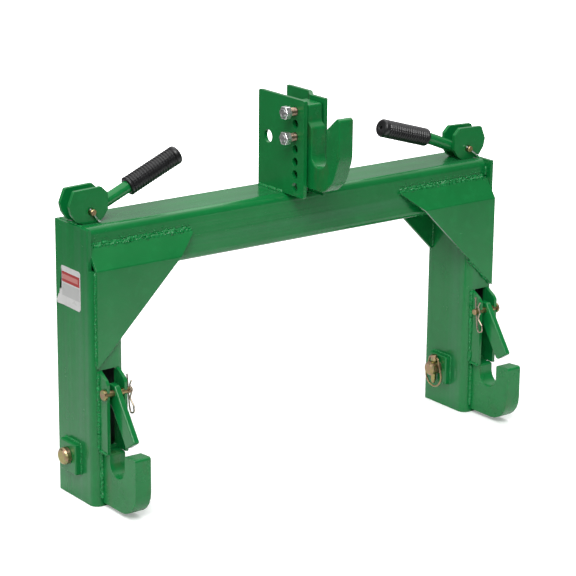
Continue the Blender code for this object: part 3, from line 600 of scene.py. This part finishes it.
# Weld beads: the ripple of each pass, the lumps and wander of a rough run, and how its ends thin out
weldLook = {
    "step": 0.0008,
    "ripple": 0.0024,
    "swell": 0.13,
    "wander": 0.00030,
    "lump": 0.30,
    "lumpScale": 150.0,
    "lumpShift": 7.3,
    "tip": 0.55,
    "tipStep": 0.12,
    "around": 10,
}
# A bead's seed is its number, so a bead that is added in between changes those after it
weldSeeds = itertools.count(1)


def weldBead(name, corners, thickness, roughness=1.0, seed=None):
    seed = next(weldSeeds) if seed is None else seed
    points = [Vector(corner) for corner in corners]
    path = []
    for start, end in zip(points, points[1:]):
        length = (end - start).length
        count = max(2, round(length / weldLook["step"]))
        path += [start.lerp(end, index / count) for index in range(count)]
    path.append(points[-1])
    chance = random.Random(seed)
    travelled = 0.0
    radii = []
    placed = []
    for index, point in enumerate(path):
        if index:
            travelled += (point - path[index - 1]).length
        ripple = math.sin(math.tau * travelled / weldLook["ripple"]) * weldLook["swell"]
        spot = Vector((travelled * weldLook["lumpScale"], seed * weldLook["lumpShift"], 0.0))
        blob = noise.noise(spot) * weldLook["lump"] * roughness
        ends = min(1.0, weldLook["tip"] + min(index, len(path) - 1 - index) * weldLook["tipStep"])
        radii.append((1.0 + ripple + blob) * ends)
        drift = [chance.uniform(-1.0, 1.0) * weldLook["wander"] * roughness for axis in range(3)]
        placed.append(point + Vector(drift))
    shape = tubeShape(placed, thickness, weldLook["around"], radii)
    finishPiece(shape, name, paints["weld"], "frame", smoothUpTo["bead"])


def edgeOf(box, direction):
    return box[1].x if direction > 0 else box[0].x


# Both feet of each bracket plate on the beam; the right plate's follow its jog
bracketBead = {
    "thickness": 0.0030,
    "lastThickness": 0.0028,
    "lift": 0.0008,
    "front": 0.010,
    "back": 0.002,
    "plate": 0.006,
    "jog": 0.015,
    "jogStart": 0.0085,
    "jogEnd": 0.0290,
}
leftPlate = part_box("bracket_plate_left")
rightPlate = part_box("bracket_plate_right")
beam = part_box("beam_tube")
beamFace, beamTop = beam[0].y, beam[1].z
footZ = beamTop + bracketBead["lift"]
frontEdge = beamFace + bracketBead["front"]
backEdge = leftPlate[1].y - bracketBead["back"]
for name, inward in (("bracketWeldLeft", 0.0), ("bracketWeldLeftInner", bracketBead["plate"])):
    x = leftPlate[0].x + inward
    weldBead(name, [(x, frontEdge, footZ), (x, backEdge, footZ)], bracketBead["thickness"])
joggedX = rightPlate[1].x
flatX = joggedX - bracketBead["jog"]
run = [
    Vector((flatX, frontEdge, footZ)),
    Vector((flatX, bracketBead["jogStart"], footZ)),
    Vector((joggedX, bracketBead["jogEnd"], footZ)),
    Vector((joggedX, backEdge, footZ)),
]
weldBead("bracketWeldRight", run, bracketBead["thickness"])
run = [point - Vector((bracketBead["plate"], 0.0, 0.0)) for point in run]
weldBead("bracketWeldRightInner", run, bracketBead["lastThickness"])

# Hooks and cheeks on the web, bosses on the walls and the rear gussets under the beam
legBead = {
    "hook": 0.0032,
    "hookRoughness": 1.3,
    "hookAway": 0.0006,
    "hookSunk": 0.0004,
    "hookLow": 0.012,
    "hookHigh": 0.083,
    "cheek": 0.0030,
    "cheekRoughness": 1.4,
    "cheekSunk": 0.0002,
    "cheekLow": 0.086,
    "cheekTop": 0.001,
    "foot": 0.0022,
    "footRoughness": 1.2,
    "footFront": 0.001,
    "footLift": 0.0002,
    "boss": 0.0017,
    "bossRoughness": 1.2,
    "gusset": 0.0024,
    "gussetLow": 0.003,
    "gussetHigh": 0.002,
}
for tag, side in sides.items():
    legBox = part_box(f"leg_{tag}")
    web = legBox[0].y
    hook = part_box(f"lower_hook_{tag}")
    for place, pick in (("Low", 0), ("High", 1)):
        x = hook[pick].x + (legBead["hookAway"] if pick else -legBead["hookAway"])
        y = web - legBead["hookSunk"]
        run = [(x, y, legBead["hookLow"]), (x, y, legBead["hookHigh"])]
        weldBead(f"hookWeld{place}{tag.title()}", run, legBead["hook"], legBead["hookRoughness"])
    for place, outward in (("outer", side), ("inner", -side)):
        where = f"{tag.title()}{place.title()}"
        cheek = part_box(f"latch_cheek_{tag}_{place}")
        x, y = edgeOf(cheek, outward), web - legBead["cheekSunk"]
        run = [(x, y, legBead["cheekLow"]), (x, y, cheek[1].z - legBead["cheekTop"])]
        weldBead(f"cheekWeld{where}", run, legBead["cheek"], legBead["cheekRoughness"])
        z = cheek[0].z + legBead["footLift"]
        run = [(x, cheek[0].y + legBead["footFront"], z), (x, cheek[1].y, z)]
        weldBead(f"cheekFoot{where}", run, legBead["foot"], legBead["footRoughness"])
        low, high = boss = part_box(f"link_boss_{tag}_{place}")
        x = edgeOf(boss, -outward)
        run = [(x, low.y, low.z), (x, high.y, low.z), (x, high.y, high.z), (x, low.y, high.z)]
        weldBead(f"bossWeld{where}", [*run, run[0]], legBead["boss"], legBead["bossRoughness"])
    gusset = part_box(f"rear_gusset_{tag}")
    wall, far = edgeOf(legBox, -side), edgeOf(gusset, -side)
    low, high = gusset[0].z + legBead["gussetLow"], gusset[1].z - legBead["gussetHigh"]
    for place, pick in (("Front", 0), ("Back", 1)):
        y = gusset[pick].y
        weldBead(f"rearGussetWeld{place}{tag.title()}", [(wall, y, low), (wall, y, high)], legBead["gusset"])
        run = [(far, y, gusset[1].z), (wall, y, gusset[1].z)]
        weldBead(f"rearGussetTop{place}{tag.title()}", run, legBead["gusset"])

# The long run along the top of each front gusset with a rough cap over it, and the gusset's lower edges
gussetBead = {
    "long": 0.0040,
    "longRoughness": 1.6,
    "tipX": 0.1905,
    "edgeX": 0.3600,
    "sunk": 0.0010,
    "under": 0.0005,
    "cap": 0.0029,
    "capRoughness": 2.4,
    "capShift": (0.0, 0.0014, 0.0036),
    "capSeeds": {"left": 79, "right": 84},
    "slope": 0.0026,
    "slopeRoughness": 1.4,
    "slopeSunk": 0.0015,
    "slopeStart": (0.3625, 0.001),
    "slopeEnd": (0.3165, 0.0475),
    "edge": 0.0022,
    "edgeRoughness": 1.2,
    "edgeLineX": 0.3632,
    "edgeLift": 0.002,
    "edgeHigh": 0.344,
}
# The beam's ends on the head of each leg: over the top and down the face
headBead = {
    "x": 0.3634,
    "top": 0.0022,
    "topRoughness": 1.2,
    "topInset": 0.012,
    "topUnder": 0.0010,
    "face": 0.0040,
    "faceRoughness": 1.6,
    "faceSunk": 0.0004,
    "faceLow": 0.004,
    "faceHigh": 0.012,
}
for tag, side in sides.items():
    gussetLow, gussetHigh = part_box(f"front_gusset_{tag}")
    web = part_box(f"leg_{tag}")[0].y
    y, z = beamFace - gussetBead["sunk"], gussetHigh.z - gussetBead["under"]
    run = [Vector((side * gussetBead[end], y, z)) for end in ("tipX", "edgeX")]
    weldBead(f"gussetTopWeld{tag.title()}", run, gussetBead["long"], gussetBead["longRoughness"])
    run = [point + Vector(gussetBead["capShift"]) for point in run]
    seed = gussetBead["capSeeds"][tag]
    weldBead(f"gussetTopCap{tag.title()}", run, gussetBead["cap"], gussetBead["capRoughness"], seed)
    ends = (gussetBead["slopeStart"], gussetBead["slopeEnd"])
    run = [(side * x, web - gussetBead["slopeSunk"], gussetLow.z + lift) for x, lift in ends]
    weldBead(f"gussetSlopeWeld{tag.title()}", run, gussetBead["slope"], gussetBead["slopeRoughness"])
    x, y = side * gussetBead["edgeLineX"], web - gussetBead["sunk"]
    run = [(x, y, gussetLow.z + gussetBead["edgeLift"]), (x, y, gussetBead["edgeHigh"])]
    weldBead(f"gussetEdgeWeld{tag.title()}", run, gussetBead["edge"], gussetBead["edgeRoughness"])
    x, z = side * headBead["x"], beamTop - headBead["topUnder"]
    run = [(x, beamFace + headBead["topInset"], z), (x, beam[1].y - headBead["topInset"], z)]
    weldBead(f"beamEndWeld{tag.title()}", run, headBead["top"], headBead["topRoughness"])
    y = beamFace - headBead["faceSunk"]
    run = [(x, y, gussetHigh.z + headBead["faceLow"]), (x, y, beamTop - headBead["faceHigh"])]
    weldBead(f"beamFaceWeld{tag.title()}", run, headBead["face"], headBead["faceRoughness"])
print("welds laid")

# Spatter thrown from the long runs on to the beam's face and the gusset, which leans in below it
spatter = {
    "count": 260,
    "seed": 40,
    "small": 0.00045,
    "large": 0.00135,
    "fromX": 0.192,
    "toX": 0.361,
    "reach": 0.0060,
    "middle": 0.4,
    "spread": 0.8,
    "bulge": 0.0035,
    "bulgeReach": 0.004,
    "leanBelow": -0.003,
    "lean": 0.0052,
}
for tag, side in sides.items():
    chance = random.Random(spatter["seed"] + side)
    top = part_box(f"front_gusset_{tag}")[1].z
    shape = bmesh.new()
    for index in range(spatter["count"]):
        x = side * chance.uniform(spatter["fromX"], spatter["toX"])
        lift = chance.gauss(spatter["middle"], spatter["spread"]) * spatter["reach"]
        size = chance.uniform(spatter["small"], spatter["large"])
        proud = spatter["lean"]
        if lift > spatter["leanBelow"]:
            proud = spatter["bulge"] * math.exp(-((lift / spatter["bulgeReach"]) ** 2))
        place = Matrix.Translation((x, beamFace - proud, top + lift))
        bmesh.ops.create_icosphere(shape, subdivisions=2, radius=size, matrix=place)
    finishPiece(shape, f"spatter{tag.title()}", paints["weld"], "frame", smoothUpTo["bead"])
print("spatter thrown")


def jointNamed(name):
    return next(joint for joint in frame["joints"] if joint["name"] == name)


# Lever grips: a moulded sleeve with close ribs, fine flats along it, a flared collar and a holed crown
gripLook = {
    "radius": 0.0140,
    "bore": 0.0093,
    "lip": 0.0012,
    "lipHeight": 0.0010,
    "collar": 0.0048,
    "cap": 0.0100,
    "ribs": 17,
    "ribDepth": 0.0017,
    "ribSteps": 10,
    "ribSharpness": 1.6,
    "flats": 18,
    "flatDepth": 0.00030,
    "flatSharpness": 6,
    "flatZone": 0.002,
    "crownHeight": 0.0048,
    "crownRadius": 0.0046,
    "crownSteps": 7,
    "holeMouth": 0.0034,
    "holeRadius": 0.0028,
    "holeChamfer": 0.0006,
    "holeDepth": 0.0036,
    "around": 90,
}


def gripSection(length):
    look = gripLook
    radius, depth, lip = look["radius"], look["ribDepth"], look["lip"]
    low, high = look["collar"], length - look["cap"]
    pitch = (high - low) / look["ribs"]
    section = [(look["bore"], 0.0), (radius - lip, 0.0), (radius, look["lipHeight"]), (radius, low - lip)]
    for rib in range(look["ribs"]):
        for part in range(look["ribSteps"]):
            share = part / look["ribSteps"]
            wave = (0.5 + 0.5 * math.cos(math.tau * share)) ** look["ribSharpness"]
            section.append((radius - depth * wave, low + (rib + share) * pitch))
    crown, bend = length - look["crownHeight"], look["crownRadius"]
    section += [(radius - depth, high), (radius, high + lip), (radius, crown)]
    for part in range(1, look["crownSteps"] + 1):
        turn = math.radians(90 * part / look["crownSteps"])
        section.append((radius - bend * (1 - math.cos(turn)), crown + bend * math.sin(turn)))
    hole, bottom = look["holeRadius"], length - look["holeDepth"]
    section += [(look["holeMouth"], length), (hole, length - look["holeChamfer"])]
    section += [(hole, bottom), (0.0, bottom)]
    return section


def makeGrip(tag):
    node = f"grip_{tag}"
    source = frame["nodes"][node]
    points = np.array([tuple(vertex.co) for vertex in source.data.vertices])
    middle = points.mean(axis=0)
    along = np.linalg.svd(points - middle)[2][0]
    pivot = np.array(jointNamed(f"lever_turn_{tag}")["pos_m"])
    along = along if along @ (middle - pivot) > 0 else -along
    heights = (points - middle) @ along
    base, length = heights.min(), heights.max() - heights.min()
    shape = bmesh.new()
    corners = [shape.verts.new((out, 0.0, up)) for out, up in gripSection(length)]
    edges = [shape.edges.new(pair) for pair in zip(corners, corners[1:])]
    bmesh.ops.spin(
        shape,
        geom=corners + edges,
        cent=(0, 0, 0),
        axis=(0, 0, 1),
        angle=math.tau,
        steps=gripLook["around"],
        use_merge=True,
    )
    bmesh.ops.remove_doubles(shape, verts=shape.verts, dist=mergeGap)
    low, high = gripLook["collar"], length - gripLook["cap"]
    for vertex in shape.verts:
        out = math.hypot(vertex.co.x, vertex.co.y)
        if out > gripLook["radius"] - gripLook["flatZone"] and low < vertex.co.z < high:
            turn = math.atan2(vertex.co.y, vertex.co.x)
            ease = max(0.0, math.cos(turn * gripLook["flats"])) ** gripLook["flatSharpness"]
            scale = 1.0 - gripLook["flatDepth"] * ease / out
            vertex.co.x *= scale
            vertex.co.y *= scale
    turn = Vector((0.0, 0.0, 1.0)).rotation_difference(Vector(along)).to_matrix().to_4x4()
    start = Vector(middle + along * base)
    bmesh.ops.transform(shape, matrix=Matrix.Translation(start) @ turn, verts=shape.verts)
    bmesh.ops.recalc_face_normals(shape, faces=shape.faces)
    body, smooth = source["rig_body"], smoothUpTo["wire"]
    piece = finishPiece(shape, node + "Ribbed", paints["rubber"], body, smooth)
    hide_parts(node)


# Spring clips: one straight leg through the latch pin and one waved leg over it.
# Each corner is its y and z from the pin's middle and its bend radius
clipPath = [
    (0.0028, 0.0230, 0.0),
    (-0.0028, -0.0230, 0.005),
    (-0.0060, -0.0330, 0.0035),
    (-0.0150, -0.0290, 0.004),
    (-0.0140, -0.0200, 0.005),
    (-0.0042, -0.0105, 0.004),
    (-0.0090, -0.0004, 0.005),
    (-0.0038, 0.0086, 0.003),
    (-0.0082, 0.0160, 0.0),
]
wireAround = 14


def makeClip(tag):
    node = f"latch_pin_clip_{tag}"
    source = frame["nodes"][node]
    low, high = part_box(node)
    x = (low.x + high.x) / 2
    top = max(source.data.vertices, key=lambda vertex: vertex.co.z).co
    pinZ = top.z - clipPath[0][1]
    pinLow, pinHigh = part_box(f"latch_pin_{tag}")
    pinY = (pinLow.y + pinHigh.y) / 2
    corners = [(Vector((x, pinY + y, pinZ + z)), radius) for y, z, radius in clipPath]
    shape = tubeShape(roundPath(corners), (high.x - low.x) / 2, wireAround)
    body, smooth = source["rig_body"], smoothUpTo["wire"]
    piece = finishPiece(shape, node + "Wire", paints["spring"], body, smooth)
    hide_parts(node)


# Return springs: round wire with a closed coil at each end
springLook = {"wire": 0.0015, "coils": 10, "closed": 1.0, "closedPitch": 0.0031, "steps": 26, "around": 12}


def makeSpring(tag):
    node = f"latch_spring_{tag}"
    source = frame["nodes"][node]
    low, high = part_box(node)
    wire, coils, closed = springLook["wire"], springLook["coils"], springLook["closed"]
    reach = (high.x - low.x) / 2 - wire
    middle = (low + high) / 2
    drop = high.z - low.z - 2 * wire
    packed = closed * springLook["closedPitch"]
    pitch = (drop - 2 * packed) / (coils - 2 * closed)
    path = []
    for index in range(coils * springLook["steps"] + 1):
        wound = index / springLook["steps"]
        ends = min(wound, closed) + max(0.0, wound - coils + closed)
        height = ends * springLook["closedPitch"] + (wound - ends) * pitch
        turn = math.tau * wound
        side = Vector((reach * math.cos(turn), reach * math.sin(turn), 0.0))
        path.append(Vector((middle.x, middle.y, high.z - wire - height)) + side)
    shape = tubeShape(path, wire, springLook["around"])
    body, smooth = source["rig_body"], smoothUpTo["wire"]
    piece = finishPiece(shape, node + "Wire", paints["black"], body, smooth)
    slide = jointNamed(f"lift_slide_{tag}")
    keep = 1.0 - slide["range_m"][1] / (high.z - low.z)
    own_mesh(piece)
    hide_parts(node)


# The ring hangs from the linch pin's head on two straight wires and closes in an arc below
ringLook = {"drop": 0.0290, "open": 20.0, "shoulder": 0.0098, "bend": 0.003, "tuck": 0.0012, "steps": 40}


def makeRing(tag):
    node = f"linch_pin_ring_{tag}"
    source = frame["nodes"][node]
    low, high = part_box(node)
    x, y = (low.x + high.x) / 2, (low.y + high.y) / 2
    wire = (high.x - low.x) / 2
    radius = (high.y - low.y) / 2 - wire
    middle = low.z + wire + radius
    hinge = middle + ringLook["drop"]
    sweep = 180.0 + 2 * ringLook["open"]
    corners = [(Vector((x, y + ringLook["tuck"], hinge)), 0.0)]
    corners.append((Vector((x, y + ringLook["shoulder"], hinge)), ringLook["bend"]))
    for index in range(ringLook["steps"] + 1):
        turn = math.radians(ringLook["open"] - sweep * index / ringLook["steps"])
        corners.append((Vector((x, y + radius * math.cos(turn), middle + radius * math.sin(turn))), 0.0))
    corners.append((Vector((x, y - ringLook["shoulder"], hinge)), ringLook["bend"]))
    corners.append((Vector((x, y - ringLook["tuck"], hinge)), 0.0))
    shape = tubeShape(roundPath(corners), wire, wireAround)
    body, smooth = source["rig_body"], smoothUpTo["wire"]
    piece = finishPiece(shape, node + "Wire", paints["zinc"], body, smooth)
    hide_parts(node)


for tag in sides:
    makeGrip(tag)
    makeClip(tag)
    makeRing(tag)
    makeSpring(tag)
print("grips, clips, rings and springs made")

# Rolled threads on the bolt tails between bracket and nut
thread = {
    "core": 0.0058,
    "root": 0.00602,
    "crest": 0.00622,
    "pitch": 0.00125,
    "nutGap": 0.0002,
    "plateGap": 0.0003,
    "around": 48,
}
for place in ("upper", "lower"):
    nutLow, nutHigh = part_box(f"top_hook_nut_{place}")
    y, z = (nutLow.y + nutHigh.y) / 2, (nutLow.z + nutHigh.z) / 2
    start, end = nutHigh.x + thread["nutGap"], leftPlate[0].x - thread["plateGap"]
    count = round((end - start) / thread["pitch"])
    last = start + count * thread["pitch"]
    section = [(thread["core"], start)]
    for index in range(count):
        base = start + index * thread["pitch"]
        section += [(thread["root"], base), (thread["crest"], base + thread["pitch"] / 2)]
    section += [(thread["root"], last), (thread["core"], last)]
    shape = bmesh.new()
    corners = [shape.verts.new((along, y, z + out)) for out, along in section]
    edges = [shape.edges.new((corners[index], corners[index - 1])) for index in range(len(corners))]
    bmesh.ops.spin(
        shape,
        geom=corners + edges,
        cent=(0, y, z),
        axis=(1, 0, 0),
        angle=math.tau,
        steps=thread["around"],
        use_merge=True,
    )
    bmesh.ops.recalc_face_normals(shape, faces=shape.faces)
    name, smooth = f"boltThread{place.title()}", smoothUpTo["thread"]
    finishPiece(shape, name, paints["copper"], "frame", smooth)
print("threads rolled")

# The label place on the left leg: plain fields of colour on a thin sheet, one corner lifting.
# Front, rear and flag are its edges in y, low, strip and high in z; the fields keep a margin inside them
label = {
    "front": 0.0217,
    "rear": 0.0725,
    "flag": 0.0825,
    "low": 0.2820,
    "strip": 0.2965,
    "high": 0.3400,
    "margin": 0.0022,
    "bandLow": 0.3167,
    "bandHigh": 0.3317,
    "bandGap": 0.0020,
    "stripeFront": 0.0065,
    "stripeLow": 0.0042,
    "stripeHigh": 0.0038,
    "thickness": 0.00025,
    "gap": 0.0001,
    "cuts": 7,
    "lift": 0.0022,
    "liftFrom": 0.0675,
    "liftUnder": 0.300,
    "liftReach": 0.015,
    "paper": (0.60, 0.60, 0.59),
    "paperWorn": (0.44, 0.44, 0.42),
    "grey": (0.34, 0.35, 0.34),
    "red": (0.36, 0.012, 0.012),
    "redWorn": (0.44, 0.050, 0.042),
    "stripe": (0.62, 0.30, 0.27),
    "greyShare": 0.55,
    "stripeShare": 0.62,
    "stain": (60.0, 5.0, 0.65, 0.45, 0.80),
    "stainOnPaper": 0.45,
    "stainOnRed": 0.4,
    "mottle": (80.0, 0.25, 0.42),
    "ripple": (45.0, 3.0, 0.5),
    "relief": 0.00030,
    "coat": 0.5,
    "coatRoughness": 0.08,
}


def makeLabelSheet():
    look = Surface("labelSheet")
    look.set("Coat Weight", label["coat"])
    look.set("Coat Roughness", label["coatRoughness"])
    depth, height = look.axis(1), look.axis(2)
    low, high = label["bandLow"], label["bandHigh"]
    field = depth.above(label["front"] + label["margin"]) * depth.below(label["rear"] - label["margin"])
    stain = look.patches(*label["stain"])
    paper = look.blend(stain * label["stainOnPaper"], label["paper"], label["paperWorn"])
    grey = height.above(label["strip"]) * height.below(low - label["bandGap"]) * field
    paper = look.blend(grey * label["greyShare"], paper, label["grey"])
    red = look.blend(stain * label["stainOnRed"], label["red"], label["redWorn"])
    stripe = height.above(low + label["stripeLow"]) * height.below(high - label["stripeHigh"])
    stripe = stripe * depth.above(label["front"] + label["stripeFront"])
    red = look.blend(stripe * label["stripeShare"], red, label["stripe"])
    band = height.above(low) * height.below(high) * field
    look.set("Base Color", look.blend(band, paper, red))
    look.mottle(*label["mottle"])
    look.relief(look.cloud(*label["ripple"]), label["relief"])
    return look.material


# The sheet with its corners cut; below the strip it runs on to the flag
def labelOutline():
    front, rear, flag = label["front"], label["rear"], label["flag"]
    low, strip, high = label["low"], label["strip"], label["high"]
    return [
        (front + 0.004, low),
        (flag - 0.002, low + 0.001),
        (flag, low + 0.006),
        (flag - 0.003, strip),
        (rear, strip - 0.001),
        (rear, high - 0.002),
        (rear - 0.002, high),
        (front + 0.003, high),
        (front, high - 0.003),
        (front, low + 0.004),
    ]


def makeLabel():
    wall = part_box("leg_left")[0].x
    shape = bmesh.new()
    corners = [shape.verts.new((wall - label["gap"], y, z)) for y, z in labelOutline()]
    face = shape.faces.new(corners)
    bmesh.ops.triangulate(shape, faces=[face])
    bmesh.ops.subdivide_edges(shape, edges=shape.edges, cuts=label["cuts"], use_grid_fill=True)
    for vertex in shape.verts:
        rear = max(0.0, (vertex.co.y - label["liftFrom"]) / label["liftReach"])
        low = max(0.0, (label["liftUnder"] - vertex.co.z) / label["liftReach"])
        vertex.co.x -= label["lift"] * rear * min(1.0, low)
    grown = bmesh.ops.extrude_face_region(shape, geom=list(shape.faces))
    moved = [item for item in grown["geom"] if isinstance(item, bmesh.types.BMVert)]
    bmesh.ops.translate(shape, vec=(-label["thickness"], 0.0, 0.0), verts=moved)
    bmesh.ops.recalc_face_normals(shape, faces=shape.faces)
    finishPiece(shape, "labelPlate", makeLabelSheet(), "frame", smoothUpTo["sheet"])


makeLabel()
print("label placed")

# The camera that fits the photograph, with its angles in degrees
photoCamera = {
    "turn": 36.71,
    "tilt": 16.69,
    "roll": 0.59,
    "lens": 139.66,
    "sensor": 36.0,
    "place": (-1.9075, -2.5207, 1.2078),
}
turn = math.radians(photoCamera["turn"])
backward = (math.sin(turn), math.cos(turn), 0.0)

# The floor is pale to the camera; in reflections it is a pale sheet that darkens outwards.
# A sky is the heights it rises between and its strength at each; a lamp is its power, place and size
studio = {
    "floor": (0.90, 0.90, 0.905),
    "floorFar": (0.10, 0.10, 0.10),
    "floorDark": (0.085, 0.085, 0.085),
    "floorSize": 14.0,
    "floorDrop": 0.0002,
    "floorGloss": 0.1,
    "floorRoughness": 0.9,
    "shadowFill": (0.25, 0.25, 0.25),
    "fadeNear": 0.9,
    "fadeFar": 1.8,
    "sheetMiddle": (0.10, -0.35, 0.0),
    "sheetNear": 0.30,
    "sheetFar": 2.00,
    "lipNear": -0.50,
    "lipFar": -0.95,
    "backShare": (0.15, 0.80, 0.0, 1.0),
    "frontSky": (0.68, 0.86, 0.16, 1.60),
    "backSky": (0.0, 0.75, 0.28, 1.05),
    "keyLamp": (260.0, (-2.6, -3.2, 4.4), 3.0),
    "sideLamp": (52.5, (-4.5, 1.0, 2.2), 2.6),
    "topLamp": (45.0, (1.5, 1.5, 4.0), 3.0),
    "lampAim": (0.0, 0.0, 0.25),
}
black, white = (0.0, 0.0, 0.0), (1.0, 1.0, 1.0)


def makeFloor():
    shape = bmesh.new()
    bmesh.ops.create_grid(shape, x_segments=1, y_segments=1, size=studio["floorSize"])
    bmesh.ops.translate(shape, vec=(0.0, 0.0, cadLow.z - studio["floorDrop"]), verts=shape.verts)
    mesh = bpy.data.meshes.new("studioFloor")
    shape.to_mesh(mesh)
    shape.free()
    floor = bpy.data.objects.new("studioFloor", mesh)
    scene.collection.objects.link(floor)
    look = Surface("studioFloor", specular=studio["floorGloss"])
    away = look.measure("DISTANCE", studio["sheetMiddle"])
    spread = look.between(away, studio["sheetNear"], studio["sheetFar"])
    lip = look.between(look.measure("DOT_PRODUCT", backward), studio["lipNear"], studio["lipFar"])
    seen = look.node("ShaderNodeLightPath", output=0)
    around = look.blend(spread, studio["floor"], studio["floorFar"])
    around = look.blend(lip, around, studio["floorDark"])
    look.set("Base Color", look.blend(seen, around, studio["floor"]))
    fade = look.between(look.measure("LENGTH"), studio["fadeNear"], studio["fadeFar"])
    glow = look.blend(fade, studio["shadowFill"], white)
    look.set("Emission Color", look.blend(seen, black, glow))
    look.set("Emission Strength", 1.0)
    look.set("Roughness", studio["floorRoughness"])
    mesh.materials.append(look.material)


# Plain white to the camera; as light, a sky that differs between the front and the back
def makeWorld():
    world = bpy.data.worlds.new("studio")
    scene.world = world
    world.use_nodes = True
    tree = world.node_tree
    light = tree.nodes["Background"]
    light.inputs[0].default_value = (*white, 1.0)
    place = tree.nodes.new("ShaderNodeTexCoord")
    split = tree.nodes.new("ShaderNodeSeparateXYZ")
    tree.links.new(place.outputs["Generated"], split.inputs[0])
    away = tree.nodes.new("ShaderNodeVectorMath")
    away.operation = "DOT_PRODUCT"
    away.inputs[1].default_value = backward
    tree.links.new(place.outputs["Generated"], away.inputs[0])

    def ramp(source, values):
        level = tree.nodes.new("ShaderNodeMapRange")
        for name, value in zip(("From Min", "From Max", "To Min", "To Max"), values):
            level.inputs[name].default_value = value
        tree.links.new(source, level.inputs["Value"])
        return level.outputs[0]

    blend = tree.nodes.new("ShaderNodeMix")
    tree.links.new(ramp(away.outputs["Value"], studio["backShare"]), blend.inputs[0])
    tree.links.new(ramp(split.outputs[2], studio["frontSky"]), blend.inputs[2])
    tree.links.new(ramp(split.outputs[2], studio["backSky"]), blend.inputs[3])
    tree.links.new(blend.outputs[0], light.inputs[1])
    backdrop = tree.nodes.new("ShaderNodeBackground")
    backdrop.inputs[0].default_value = (*white, 1.0)
    path = tree.nodes.new("ShaderNodeLightPath")
    mix = tree.nodes.new("ShaderNodeMixShader")
    tree.links.new(path.outputs["Is Camera Ray"], mix.inputs[0])
    tree.links.new(light.outputs[0], mix.inputs[1])
    tree.links.new(backdrop.outputs[0], mix.inputs[2])
    tree.links.new(mix.outputs[0], tree.nodes["World Output"].inputs[0])


def makeLamp(name):
    power, place, size = studio[name]
    lamp = bpy.data.lights.new(name, "AREA")
    lamp.energy = power
    lamp.size = size
    item = bpy.data.objects.new(name, lamp)
    scene.collection.objects.link(item)
    item.location = place
    aim = Vector(studio["lampAim"]) - Vector(place)
    item.rotation_euler = aim.to_track_quat("-Z", "Y").to_euler()


def makeCamera():
    tilt, roll = math.radians(photoCamera["tilt"]), math.radians(photoCamera["roll"])
    ahead = Vector((math.sin(turn) * math.cos(tilt), math.cos(turn) * math.cos(tilt), -math.sin(tilt)))
    right = Vector((math.cos(turn), -math.sin(turn), 0.0))
    up = right.cross(ahead)
    across = math.cos(roll) * right + math.sin(roll) * up
    above = math.cos(roll) * up - math.sin(roll) * right
    camera = bpy.data.cameras.new("photoCamera")
    camera.lens = photoCamera["lens"]
    camera.sensor_width = photoCamera["sensor"]
    item = bpy.data.objects.new("photoCamera", camera)
    scene.collection.objects.link(item)
    axes = Matrix((across, above, -ahead)).transposed()
    item.matrix_world = Matrix.Translation(photoCamera["place"]) @ axes.to_4x4()
    scene.camera = item


makeFloor()
makeWorld()
for name in ("keyLamp", "sideLamp", "topLamp"):
    makeLamp(name)
makeCamera()
scene.view_settings.view_transform = "Standard"
print("studio set")
